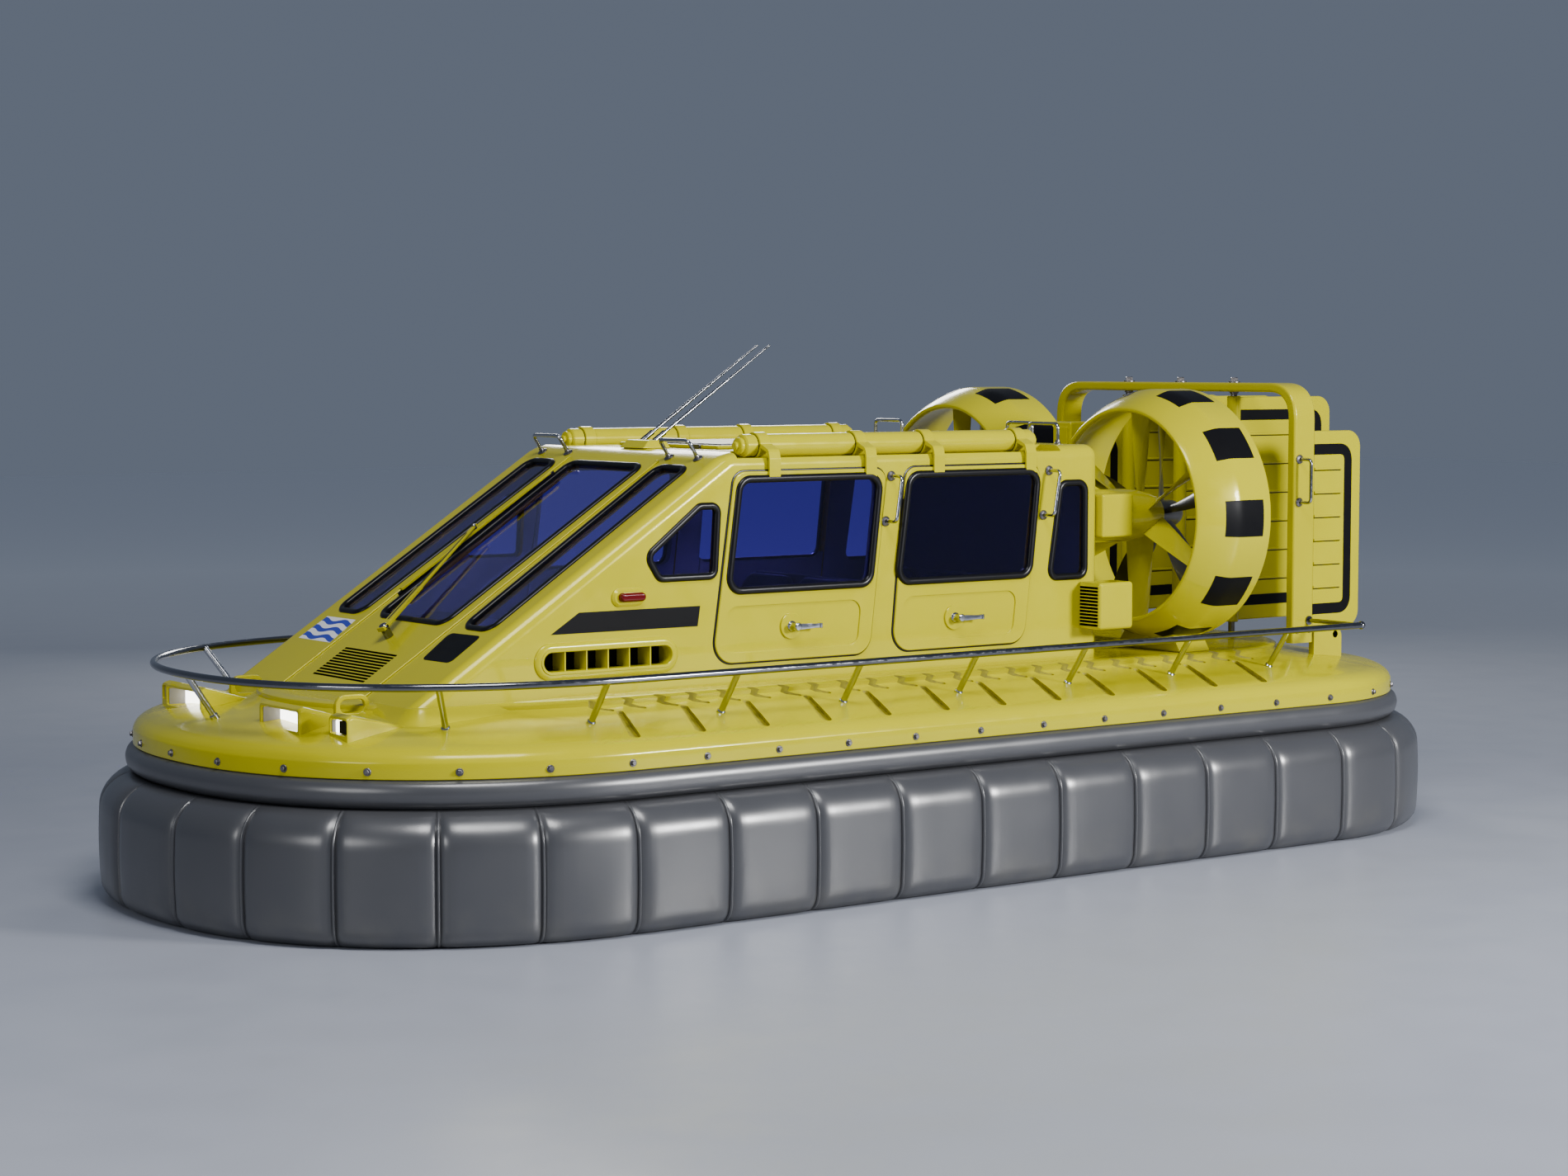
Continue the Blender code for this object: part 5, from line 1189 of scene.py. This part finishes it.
base, lens = bmesh.new(), bmesh.new()
for side in (-1, 1):
    face = side_plane(side * HALF_WIDTH)
    low = rounded(rectangle(1.834, 2.050, 1.645, 1.745), 0.0495, 10)
    high = rounded(rectangle(1.852, 2.036, 1.658, 1.734), 0.0375, 10)
    levels = ((low, -0.002), (low, 0.006), (high, 0.018))
    stack(base, [[face @ Vector((*point, level)) for point in loop] for loop, level in levels])
    loops = []
    for size, level in ((0.026, 0.010), (0.026, 0.030), (0.022, 0.044), (0.012, 0.052)):
        reach = 0.058 + size
        corners = rectangle(1.930 - reach, 1.930 + reach, 1.697 - size, 1.697 + size)
        loops.append([face @ Vector((*p, level)) for p in rounded(corners, size * 0.98, 8)])
    stack(lens, loops)
dress(soften(link("marker_bases", base, gelcoat), 0.003, 2, 60))
dress(link("marker_lenses", lens, red_lens), slot="dark_resin", sharp=50)

# %% [markdown]
# One long wiper sweeps the centre pane. Its arm turns on a steel pin at the foot of the pane, and the blade's
# frame swivels on the arm's end so that it stays upright. Arm and blade ride on their own bodies.

# %% Wiper
BOSS, PIN = Vector((0.0, -0.167)), Vector((-0.37, 0.797))
along = (PIN - BOSS).normalized()


def on_slope(spot, lift):
    """A place on the slope, lifted off it."""
    return SCREEN_PLANE @ Vector((spot.x, spot.y, lift))


def bar(bm, start, end, widths, lifts, finish=0, radius=0.003):
    """A flat bar on the slope between two places, with a width and a pair of heights at each end."""
    run = (end - start).normalized()
    sideways = Vector((run.y, -run.x))
    points = [on_slope(spot + sideways * side * width / 2, level)
              for spot, width, pair_of_levels in zip((start, end), widths, lifts)
              for side in (-1, 1) for level in pair_of_levels]
    hull_block(bm, points, radius, 2, finish)


bm = bmesh.new()
foot = SCREEN_PLANE @ Matrix.Translation((BOSS.x, BOSS.y, 0.0))
pin = SCREEN_PLANE @ Matrix.Translation((PIN.x, PIN.y, 0.0))
boss = [(0.0, 0.001), (0.026, 0.001), (0.026, 0.058), (0.030, 0.060), (0.030, 0.072), (0.020, 0.084),
        (0.0, 0.086)]
lathe(bm, boss, foot, 28, finish=1)
bar(bm, BOSS - along * 0.03, BOSS + along * 0.40, (0.054, 0.044), ((0.056, 0.080), (0.056, 0.076)))
bar(bm, BOSS + along * 0.38, PIN + along * 0.02, (0.036, 0.026), ((0.058, 0.074), (0.062, 0.074)))
# A thin steel rod lies along the arm
bar(bm, BOSS + along * 0.06, PIN - along * 0.08, (0.010, 0.008), ((0.070, 0.0825), (0.070, 0.0765)), 1, 0.001)
lathe(bm, [(0.0, 0.052), (0.014, 0.052), (0.014, 0.078), (0.009, 0.084), (0.0, 0.084)], pin, 20, finish=1)
dress(link("wiper_arm_dressed", bm, gelcoat, polished_steel), body="wiper", stands_for=["wiper_arm"])


def upright(bm, low, high, width, lifts, finish=0, radius=0.003, across=0.0):
    """A bar of the blade, which stands upright through the pin."""
    start, end = PIN + Vector((across, low)), PIN + Vector((across, high))
    bar(bm, start, end, (width, width), (lifts, lifts), finish, radius)


bm = bmesh.new()
# Columns: low end, high end, width
claws = [(-0.60, 0.60, 0.012), (-0.60, -0.50, 0.030), (-0.34, -0.20, 0.030), (-0.07, 0.07, 0.034),
         (0.20, 0.34, 0.030), (0.50, 0.60, 0.030)]
for low, high, width in claws:
    upright(bm, low, high, width, (0.034, 0.050))
for side in (-1, 1):
    upright(bm, -0.60, 0.60, 0.006, (0.036, 0.049), 0, 0.001, side * 0.015)
upright(bm, -0.63, 0.63, 0.012, (0.003, 0.036), 1, 0.002)
dress(link("wiper_blade_dressed", bm, gelcoat, gasket_rubber), body="wiper_blade", stands_for=["wiper_blade"])

bm = bmesh.new()
lathe(bm, [(0.0, -0.01), (0.075, -0.01), (0.070, 0.0), (0.050, 0.0004), (0.0, 0.0006)], foot, 32)
dress(link("wiper_seat", bm, gelcoat))

# %% [markdown]
# ## Air intakes, ducts and propellers
# Two louvred boxes on the cabin's flanks take in cooling air. Behind the cabin, each propeller turns in a duct
# of glass fibre: a flared cone that runs into a band with black squares, held by six twisted vanes.

# %% Intake boxes
for side, label in ((1, "port"), (-1, "starboard")):
    bm, slots = bmesh.new(), bmesh.new()
    block(bm, (-1.66, side * 1.0503, 1.35), (-1.38, side * 1.25, 1.64), 0.022, 4)
    low, high = sorted((side * 1.0503, side * 1.25))
    # The louvre's slots are blind pockets with black faces: painted shade for the dark intake behind them
    for slot in range(12):
        z = 1.370 + slot * 0.0208
        block(slots, (-1.430, low + 0.016, z), (-1.30, high - 0.020, z + 0.0150), finish=1)
    intake = link("intake_box_dressed_" + label, bm, gelcoat, black_film_and_painted_shade)
    dress(cut(intake, slots, gelcoat, black_film_and_painted_shade), stands_for=["intake_box_" + label])

# %% Duct rings
DUCT_Y, DUCT_Z = 0.88, 2.027
flare = smooth([(0.645, -1.925), (0.650, -1.907), (0.664, -1.901), (0.682, -1.913), (0.735, -2.010),
                (0.778, -2.118), (0.789, -2.160)], 4)
band = [(0.7900, -2.172), (0.7900, -2.408), (0.7860, -2.418), (0.778, -2.420), (0.770, -2.418), (0.765, -2.412)]
bore = smooth([(0.760, -2.395), (0.735, -2.270), (0.715, -2.150), (0.680, -2.000), (0.645, -1.925)], 4)[:-1]


def duct_radius(x):
    """Radius of the duct's outer side at a place along the craft."""
    outside = flare[6:] + band[:2]
    for (r1, x1), (r2, x2) in zip(outside, outside[1:]):
        if x2 <= x <= x1:
            return r1 + (r2 - r1) * (x1 - x) / (x1 - x2)
    return band[0][0]


bm = bmesh.new()
lathe(bm, flare + band + bore, line_along(DUCT_Y, DUCT_Z), 112)
pair(link("ring", bm, gelcoat), "duct_ring", stands_for=["duct_port"])

# %% [markdown]
# The squares are sheets of black film laid on the duct's curved side. Each is a small patch of the same turned
# surface, a millimetre and a half proud.

# %% Black squares on the ducts
SQUARES, SQUARE_DEGREES = 10, 16.5
bm = bmesh.new()
for square in range(SQUARES):
    start = 360 / SQUARES * square - SQUARE_DEGREES / 2
    angles = [math.radians(start + SQUARE_DEGREES * k / 8) for k in range(9)]
    loops = []
    for x in (-2.062 - 0.291 * i / 10 for i in range(11)):
        proud, sunk = duct_radius(x) + 0.0015, duct_radius(x) - 0.004
        edge = [(proud, a) for a in angles] + [(sunk, a) for a in reversed(angles)]
        loops.append([(x, DUCT_Y + radius * math.cos(a), DUCT_Z + radius * math.sin(a)) for radius, a in edge])
    stack(bm, loops)
pair(link("squares", bm, black_film_and_painted_shade), "duct_squares", slot="dark_resin")

# %% [markdown]
# Inside each duct, a nacelle carries the propeller's shaft. Six vanes run from it to the duct. They twist along
# their length, which takes the swirl out of the air, so each is a loft of flat sections that turn. Both
# propellers turn the same way, so vanes and blades are made anew for each duct and not mirrored.

# %% Nacelles, fairings and vanes
SHAFTS = {label: Matrix.Translation((0.0, side * DUCT_Y, DUCT_Z))
          for label, side in (("port", 1), ("starboard", -1))}
nacelle = [(0.0, -1.561), (0.165, -1.561), (0.165, -1.90), (0.160, -1.98), (0.142, -2.08), (0.120, -2.145),
           (0.112, -2.158), (0.0, -2.159)]
for label, shaft in SHAFTS.items():
    bm = bmesh.new()
    lathe(bm, nacelle, shaft @ line_along(0.0, 0.0), 48)
    block(bm, (-1.82, -0.19, -0.125), (-1.5603, 0.19, 0.145), 0.016, 3, matrix=shaft)
    for vane in range(6):
        turn = shaft @ Matrix.Translation((-2.055, 0.0, 0.0)) @ Matrix.Rotation(math.pi / 3 * vane, 4, "X")
        loops = []
        for share in (step / 8 for step in range(9)):
            outwards = Vector((0.0, 0.0, 0.10 + 0.61 * share))
            a, b = 0.090 - 0.012 * share, 0.010 - 0.004 * share
            twist = Matrix.Rotation(math.radians(34 - 42 * share), 3, "Z")
            corners = [(-a, 0.0), (-a * 0.6, -b), (a * 0.6, -b), (a, 0.0), (a * 0.6, b), (-a * 0.6, b)]
            loops.append([turn @ (twist @ Vector((x, y, 0.0)) + outwards) for x, y in corners])
        stack(bm, loops)
    dress(link("nacelle_" + label, bm, gelcoat), stands_for=["duct_" + label])

# %% Duct feet and the pylon between the ducts
bm, bore = bmesh.new(), bmesh.new()
sides = ((-0.30, PLATEAU_Z), (0.30, PLATEAU_Z), (-0.18, 1.34), (0.18, 1.34))
hull_block(bm, [(x, DUCT_Y + y, z) for x in (-2.39, -2.13) for y, z in sides], 0.012, 3)
drum(bore, 0.775, -1.7, -2.7, line_along(DUCT_Y, DUCT_Z), 112)
pair(cut(link("foot", bm, gelcoat), bore, gelcoat), "duct_foot", stands_for=["duct_port"])

bm = bmesh.new()
block(bm, (-2.40, -0.0895, 1.1905), (-2.17, 0.0895, 2.595), 0.014, 3)
block(bm, (-2.37, -0.0700, 2.40), (-2.155, 0.0700, 2.565), 0.010, 2)
dress(link("pylon", bm, gelcoat), stands_for=["duct_bridge"])

# %% [markdown]
# Each propeller has five blades of black composite. A blade is lofted through four given sections and smooth
# steps between them, each a thin aerofoil turned flatter and made thinner towards the tip.

# %% Propellers
AEROFOIL = [(-0.50, 0.0), (-0.44, 0.22), (-0.28, 0.42), (-0.08, 0.50), (0.14, 0.42), (0.34, 0.22), (0.50, 0.0),
            (0.34, -0.10), (0.14, -0.22), (-0.08, -0.30), (-0.28, -0.30), (-0.44, -0.18)]
# Columns: radius, chord, pitch in degrees, thickness
blade_rows = smooth([(0.05, 0.07, 60, 0.050), (0.20, 0.13, 48, 0.030), (0.45, 0.16, 30, 0.020),
                     (0.69, 0.12, 22, 0.010)], 5)
hub = [(0.0, -2.1603), (0.078, -2.1603), (0.085, -2.168), (0.085, -2.305), (0.080, -2.335), (0.062, -2.368),
       (0.034, -2.389), (0.0, -2.394)]
PROPELLER_X, BLADES = -2.235, 5
for label, shaft in SHAFTS.items():
    bm = bmesh.new()
    lathe(bm, hub, shaft @ line_along(0.0, 0.0), 40)
    for blade in range(BLADES):
        turn = shaft @ Matrix.Translation((PROPELLER_X, 0.0, 0.0))
        turn = turn @ Matrix.Rotation(2 * math.pi * blade / BLADES, 4, "X")
        loops = []
        for radius, chord, pitch, thick in blade_rows:
            sine, cosine = math.sin(math.radians(pitch)), math.cos(math.radians(pitch))
            loops.append([turn @ Vector((chord * u * sine + thick * v * cosine,
                                         chord * u * cosine - thick * v * sine, radius)) for u, v in AEROFOIL])
        stack(bm, loops)
    dress(link("propeller_dressed_" + label, bm, dark_composite), body=label + "_propeller", slot="dark_resin",
          stands_for=["propeller_" + label])

# %% Engine hatch
bm = bmesh.new()
block(bm, (-3.02, -0.50, 1.1654), (-1.83, 0.50, 1.182), 0.006, 2)
for low, high in ((-2.99, -2.43), (-2.41, -1.86)):
    block(bm, (low, -0.47, 1.178), (high, 0.47, 1.190), 0.005, 2)
for x in (-2.80, -2.05):
    for side in (-1, 1):
        block(bm, (x - 0.03, side * 0.455, 1.180), (x + 0.03, side * 0.515, 1.196), 0.004, 2, finish=1)
dress(link("engine_cover", bm, gelcoat, bolt_steel), stands_for=["engine_hatch"])

# %% [markdown]
# ## Arch, fins and rudders
# An arch of flat box section stands round the rudders. A narrow fin is fixed behind each of its posts and three
# wide rudders turn between them. Fins and rudders have a black stripe round their edge and low ribs across, on
# both sides.

# %% Arch
ARCH_X, ARCH_Y, ARCH_TOP, RUDDER_Y = -3.240, 1.160, 2.850, 0.508


def arch_path(y, top, bend):
    """An upright U across the craft, from foot to foot."""
    return bent([(0.0, -y, PLATEAU_Z), (0.0, -y, top), (0.0, y, top), (0.0, y, PLATEAU_Z)], bend, 14)


loops = []
for far, near in zip(arch_path(ARCH_Y, ARCH_TOP, 0.24), arch_path(1.090, 2.790, 0.18)):
    depth = (far - near).length
    section = rounded(rectangle(0.0, depth, -0.095, 0.095), 0.020, 5)
    out = (far - near).normalized()
    loops.append([near + out * point.x + Vector((ARCH_X + point.y, 0.0, 0.0)) for point in section])
bm = bmesh.new()
stack(bm, loops)
dress(link("arch_dressed", bm, gelcoat), stands_for=["arch"])

bm = bmesh.new()
for y in (-RUDDER_Y, 0.0, RUDDER_Y):
    seat = Matrix.Translation((ARCH_X, y, ARCH_TOP))
    drum(bm, 0.040, -0.003, 0.007, seat)
    lathe(bm, [(0.0, 0.006), (0.025, 0.006), (0.025, 0.030), (0.022, 0.034), (0.0, 0.034)], seat, 6)
for side in (-1, 1):
    for x in (-3.295, -3.185):
        lathe(bm, [(0.0, -0.002), (0.013, -0.002), (0.013, 0.008), (0.0, 0.010)],
              Matrix.Translation((x, side * ARCH_Y, 1.24)) @ Matrix.Rotation(-side * math.pi / 2, 4, "X"), 6)
dress(link("arch_bolts", bm, bolt_steel), slot="polished_steel")
bm = bmesh.new()
for side in (-1, 1):
    grab(bm, (-3.188, side * ARCH_Y, 2.359), (-3.188, side * ARCH_Y, 2.081), (0.0, side * 0.105, 0.0))
dress(link("arch_handles", bm, bright_steel, bolt_steel), slot="polished_steel")


# %% Fins and rudders
def ribbon(bm, path, width, low, high, matrix, finish=0):
    """A flat stripe along an open path of (x, y) points."""
    path = [Vector(point[:2]) for point in path]
    rows = []
    for here, before, after in zip(path, path[:1] + path, path[1:] + path[-1:]):
        run = (after - before).normalized()
        edge = Vector((run.y, -run.x)) * width / 2
        corners = ((here - edge, low), (here + edge, low), (here + edge, high), (here - edge, high))
        rows.append([matrix @ Vector((*spot, level)) for spot, level in corners])
    stack(bm, rows, finish)


RIBS = 6


def vane_panel(bm, y, front, rear, low, high, rib_start):
    """A panel with its stripe and ribs on both faces."""
    outline = [(rear, low, 0.11), (front, low, 0.012), (front, high, 0.012), (rear, high, 0.11)]
    panel = bmesh.new()
    plate(panel, rounded(outline, 0.05, 12), -0.025, 0.025, side_plane(y))
    bmesh.ops.recalc_face_normals(panel, faces=panel.faces)
    rim_edges = [edge for edge in panel.edges if abs(edge.verts[0].co.y - edge.verts[1].co.y) < 0.001]
    bmesh.ops.bevel(panel, geom=rim_edges, offset=0.012, segments=3, profile=0.5, affect="EDGES")
    paste(bm, panel)
    stripe_rear, stripe_high, stripe_low = rear + 0.12, high - 0.12, low + 0.13
    corners = [(front, stripe_high, 0), (stripe_rear, stripe_high, 0), (stripe_rear, stripe_low, 0),
               (front, stripe_low, 0)]
    path = bent(corners, 0.08, 8)
    for face in (-1, 1):
        matrix = Matrix.Translation((0.0, y, 0.0)) @ side_plane(math.copysign(1e-9, face))
        ribbon(bm, path, 0.070, 0.020, 0.0262, matrix, finish=1)
        for rib in range(RIBS):
            z = high - 0.247 - rib * (high - low - 0.52) / (RIBS - 1)
            # Each rib gets a thin black bar below it: a painted shadow for the line that the rib throws
            for out, drop, end, radius, sides, finish in (
                    (0.022, 0.0, 0.185, 0.0095, 12, 0), (0.0235, 0.011, 0.19, 0.004, 8, 1)):
                start, stop = (rib_start, y + face * out, z - drop), (rear + end, y + face * out, z - drop)
                pipe(bm, [start, stop], radius, sides, finish=finish)


bm = bmesh.new()
vane_panel(bm, 1.125, -3.3353, -3.77, 1.25, 2.54, -3.340)
pair(link("fin", bm, gelcoat, black_film_and_painted_shade), "fin", stands_for=["side_fin_port"])
post = [(0.0, 1.260), (0.040, 1.260), (0.045, 1.265), (0.045, 2.755), (0.040, 2.760), (0.0, 2.760)]
pivot = [(0.0, 1.1654), (0.034, 1.1654), (0.034, 1.174), (0.022, 1.178), (0.022, 2.776), (0.030, 2.779),
         (0.030, 2.7896), (0.0, 2.7896)]
for label, y in (("port", RUDDER_Y), ("centre", 0.0), ("starboard", -RUDDER_Y)):
    bm = bmesh.new()
    vane_panel(bm, y, -3.245, -4.13, 1.27, 2.755, -3.28)
    place = Matrix.Translation((ARCH_X, y, 0.0))
    lathe(bm, post, place, 32)
    lathe(bm, pivot, place, 24, finish=2)
    dress(link("rudder_dressed_" + label, bm, gelcoat, black_film_and_painted_shade, bolt_steel), body=label + "_rudder",
          stands_for=["rudder_" + label])

# %% [markdown]
# ## Handrail and bolts
# The handrail is a bent steel tube round the bow and along both sides, on leaning stanchions. It ends near the
# arch in a ball, from which a thinner tube runs inboard. A row of bolts along the rim clamps the deck, the hull
# and the skirt together.

# %% Handrail
RAIL_Z, RAIL_Y, RAIL_END, BOW_END = 1.310, 1.62, -3.29, 2.22
FOOT_Z, FIRST_STANCHION, STANCHION_PITCH = 1.073, 2.445, 0.846
rail_plan = Outline(4.09, -3.79, RAIL_Y, 1.87, 0.4)
port = [point for point in rail_plan.points[:QUARTER_STEPS + 1] if point.x > BOW_END + 0.001][::5]
port += [Vector((BOW_END, RAIL_Y)), Vector((RAIL_END, RAIL_Y))]
path = [(point.x, -point.y, RAIL_Z) for point in reversed(port[1:])] + [(*point, RAIL_Z) for point in port]
bm = bmesh.new()
pipe(bm, path, 0.021, sides=20)
# Each stanchion's foot and head
stanchions = [((3.93, 0.0), (4.09, 0.0))]
for side in (-1, 1):
    stanchions.append(((3.20, side * 1.22), (3.325, side * 1.365)))
    for x in (FIRST_STANCHION - STANCHION_PITCH * i for i in range(7)):
        stanchions.append(((x, side * 1.45), (x, side * RAIL_Y)))
    corner = (RAIL_END, side * RAIL_Y, RAIL_Z)
    bmesh.ops.create_uvsphere(bm, u_segments=24, v_segments=14, radius=0.027, matrix=Matrix.Translation(corner))
    pipe(bm, [corner, (RAIL_END, side * 1.1605, RAIL_Z)], 0.014)
    lathe(bm, [(0.0, 1.1603), (0.030, 1.1603), (0.030, 1.168), (0.0, 1.170)],
          Matrix.Translation((RAIL_END, 0.0, RAIL_Z)) @ Matrix.Rotation(-side * math.pi / 2, 4, "X"), 20)
for foot, head in stanchions:
    ground, head = Vector((*foot, FOOT_Z)), Vector((*head, RAIL_Z))
    lean = (head - ground).normalized()
    pipe(bm, [ground - lean * 0.03, head], 0.018, sides=16, finish=1)
    lathe(bm, [(0.0, -0.02), (0.024, -0.02), (0.024, 0.012), (0.018, 0.018), (0.0, 0.018)],
          Matrix.Translation(ground) @ facing(lean), 20, finish=1)
dress(link("handrail_dressed", bm, polished_steel, bright_steel), slot="polished_steel", stands_for=["handrail"])
print("Stanchions:", len(stanchions))

# %% Rim bolts
BOLT_PITCH, BOLT_Z = 0.48, 0.895
bm = bmesh.new()
bolts = round(rim.length / BOLT_PITCH)
for share in (i / bolts for i in range(bolts)):
    seat = Matrix.Translation((*rim.at(share), BOLT_Z)) @ facing((*rim.normal(share), 0.0))
    lathe(bm, [(0.0, -0.004), (0.021, -0.004), (0.021, 0.003), (0.019, 0.005), (0.0, 0.005)], seat, 20)
    lathe(bm, [(0.0, 0.004), (0.0145, 0.004), (0.0145, 0.015), (0.011, 0.018), (0.0, 0.018)], seat, 6)
dress(link("rim_bolts", bm, bolt_steel), slot="polished_steel")
print("Rim bolts:", bolts)

# %% [markdown]
# ## Inside the cabin
# Through the dark glass one sees a dashboard with a wheel and three rows of seats. The seats are upholstered,
# so each cushion is a crowned form whose sides pull in between its corners.

# %% Dashboard
bm = bmesh.new()
hull_block(bm, [(x, y, z) for x, z in ((2.28, 0.7205), (2.28, 1.45), (2.05, 1.50), (1.90, 1.35), (2.05, 0.7205))
                for y in (-0.90, 0.90)], 0.02, 3)
tilt = Matrix.Translation((1.84, 0.42, 1.40)) @ Matrix.Rotation(math.radians(-62), 4, "Y")


def on_wheel(radius, share):
    """A place on the steering wheel, at a radius and a share of a turn."""
    angle = 2 * math.pi * share
    return tilt @ Vector((radius * math.cos(angle), radius * math.sin(angle), 0.0))


pipe(bm, [on_wheel(0.19, i / 40) for i in range(40)], 0.014, closed=True)
for spoke in range(3):
    pipe(bm, [on_wheel(0.0, 0.0), on_wheel(0.185, spoke / 3)], 0.009, sides=8)
lathe(bm, [(0.0, -0.16), (0.022, -0.16), (0.022, -0.01), (0.045, 0.0), (0.045, 0.015), (0.0, 0.020)], tilt, 24)
dress(link("dashboard_dressed", bm, cabin_lining), slot="dark_resin", stands_for=["dashboard"])


# %% Seats
CROWN, PULL, ROWS = 0.022, 0.018, 12


def cushion(name, low, high, matrix=None):
    """A stuffed cushion: crowned above, its sides pulled in between the corners, rounded all round."""
    low, high = Vector(low), Vector(high)
    size, middle = high - low, (low + high) / 2
    bm = bmesh.new()
    bmesh.ops.create_cube(bm, size=2.0)
    bmesh.ops.subdivide_edges(bm, edges=bm.edges[:], cuts=ROWS - 1, use_grid_fill=True)
    for vert in bm.verts:
        x, y, z = vert.co
        # A box is drawn in at its edges by a rounded power of the other two places
        round_x = (1 - 0.16 * abs(y) ** 8) * (1 - 0.22 * abs(z) ** 6) - PULL / size.x * (1 - y * y)
        round_y = (1 - 0.16 * abs(x) ** 8) * (1 - 0.22 * abs(z) ** 6) - PULL / size.y * (1 - x * x)
        swell = CROWN * ((1 - x ** 4) * (1 - y ** 4) + 0.5) if z > 0 else 0.0
        place = (x * round_x * size.x / 2, y * round_y * size.y / 2, z * (size.z / 2 - CROWN) + swell)
        vert.co = middle + Vector(place)
    if matrix:
        bmesh.ops.transform(bm, matrix=matrix, verts=bm.verts)
    piece = link(name, bm, seat_vinyl)
    dress(piece, slot="seat_vinyl", sharp=80, flat=False)


for row, x in (("front", 1.05), ("middle", 0.05), ("rear", -0.95)):
    bm = bmesh.new()
    block(bm, (x - 0.24, -0.84, 0.7205), (x + 0.23, 0.84, 1.005), 0.015, 2)
    leaning = ((-0.24, 0.28), (-0.19, 0.28), (-0.325, 0.93), (-0.355, 0.93))
    hull_block(bm, [(x + back, y, 0.72 + z) for back, z in leaning for y in (-0.82, 0.82)], 0.010, 2)
    dress(link("seat_frame_" + row, bm, cabin_lining), slot="seat_vinyl", stands_for=["seats_" + row])
    for place, y in (("port", 0.56), ("centre", 0.0), ("starboard", -0.56)):
        cushion(f"seat_cushion_{row}_{place}", (x - 0.20, y - 0.265, 1.003), (x + 0.25, y + 0.265, 1.140))
        lean = Matrix.Translation((x - 0.19, 0.0, 1.12)) @ Matrix.Rotation(math.radians(-14.5), 4, "Y")
        upright = lean @ Matrix.Rotation(math.radians(90), 4, "Y")
        cushion(f"seat_back_{row}_{place}", (-0.53, y - 0.265, 0.0), (0.0, y + 0.265, 0.105), upright)

# %% Finishes of the solids that stay as they are
paint("landing_skid_port", skid_resin)
paint("landing_skid_starboard", skid_resin)
paint("engine_block", engine_paint)
shown = [name for name, obj in frame["nodes"].items() if not obj.hide_render]
print("Plain solids still shown:", shown)

# %% [markdown]
# ## Floor, light and camera
# A pale floor and four soft lights give the long soft highlights that a glossy moulding shows in a studio. The
# key stands on the port side, and weaker lights above, at the bow and behind fill the shadows. The camera stands
# where the photograph's did, low at the bow on the port side.

# %% Stage
FLOOR_NEAR, FLOOR_FAR = (0.36, 0.38, 0.44), (0.97, 0.98, 1.0)
FADE_START, FADE_END = 7.0, 26.0  # metres from the craft's middle
floor_paint, tree, shader = principled("floor_paint", FLOOR_NEAR, 0.40, wear=(2.0, 3.0, 0.36, 0.44))
place = tree.nodes.new("ShaderNodeTexCoord")
distance = tree.nodes.new("ShaderNodeVectorMath")
distance.operation = "LENGTH"
tree.links.new(place.outputs["Object"], distance.inputs[0])
fade = spread(tree, distance.outputs["Value"], 0.0, 1.0, FADE_START, FADE_END)
tree.links.new(blend_colors(tree, fade, FLOOR_NEAR, FLOOR_FAR), shader.inputs["Base Color"])
bm = bmesh.new()
block(bm, (-60.0, -60.0, -0.05), (60.0, 60.0, -0.001))
floor = link("floor", bm, floor_paint)
floor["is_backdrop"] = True

world = bpy.data.worlds.new("studio")
bpy.context.scene.world = world
world.use_nodes = True
sky = world.node_tree.nodes["Background"].inputs
sky["Color"].default_value, sky["Strength"].default_value = (0.50, 0.60, 0.80, 1.0), 0.24


def soft_light(name, place, target, size, power):
    """A rectangle of light in metres and watts, turned to a target."""
    data = bpy.data.lights.new(name, "AREA")
    data.shape = "RECTANGLE"
    data.size, data.size_y = size
    data.energy = power
    light = bpy.data.objects.new(name, data)
    light.location = place
    light.rotation_euler = (Vector(target) - Vector(place)).to_track_quat("-Z", "Y").to_euler()
    bpy.context.scene.collection.objects.link(light)


soft_light("key", (-5.6, 13.7, 5.3), (0.0, 1.0, 1.0), (2.6, 2.0), 2600)
soft_light("top", (4.0, 6.0, 11.0), (0.5, 0.0, 1.0), (5.0, 3.5), 1000)
soft_light("bow", (14.0, 5.0, 5.0), (1.5, 0.0, 1.0), (4.0, 3.0), 300)
soft_light("back", (-6.0, -10.0, 6.0), (-1.0, 0.0, 1.5), (4.0, 3.0), 420)

# %% Camera
camera_data = bpy.data.cameras.new("camera")
camera_data.lens, camera_data.sensor_width = 70.1, 36.0
camera_data.clip_end = 300.0
camera = bpy.data.objects.new("camera", camera_data)
camera.location = (11.219, 15.05, 3.0)
camera.rotation_euler = (math.radians(85.726), 0.0, math.radians(143.532))
bpy.context.scene.collection.objects.link(camera)
bpy.context.scene.camera = camera

# %% [markdown]
# ## Size
# The box of all that is shown, dressed pieces and the plain solids still shown, is printed.

# %% Print the box
low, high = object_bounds()
print("Dressed:", [round(v, 3) for v in (*low, *high)])
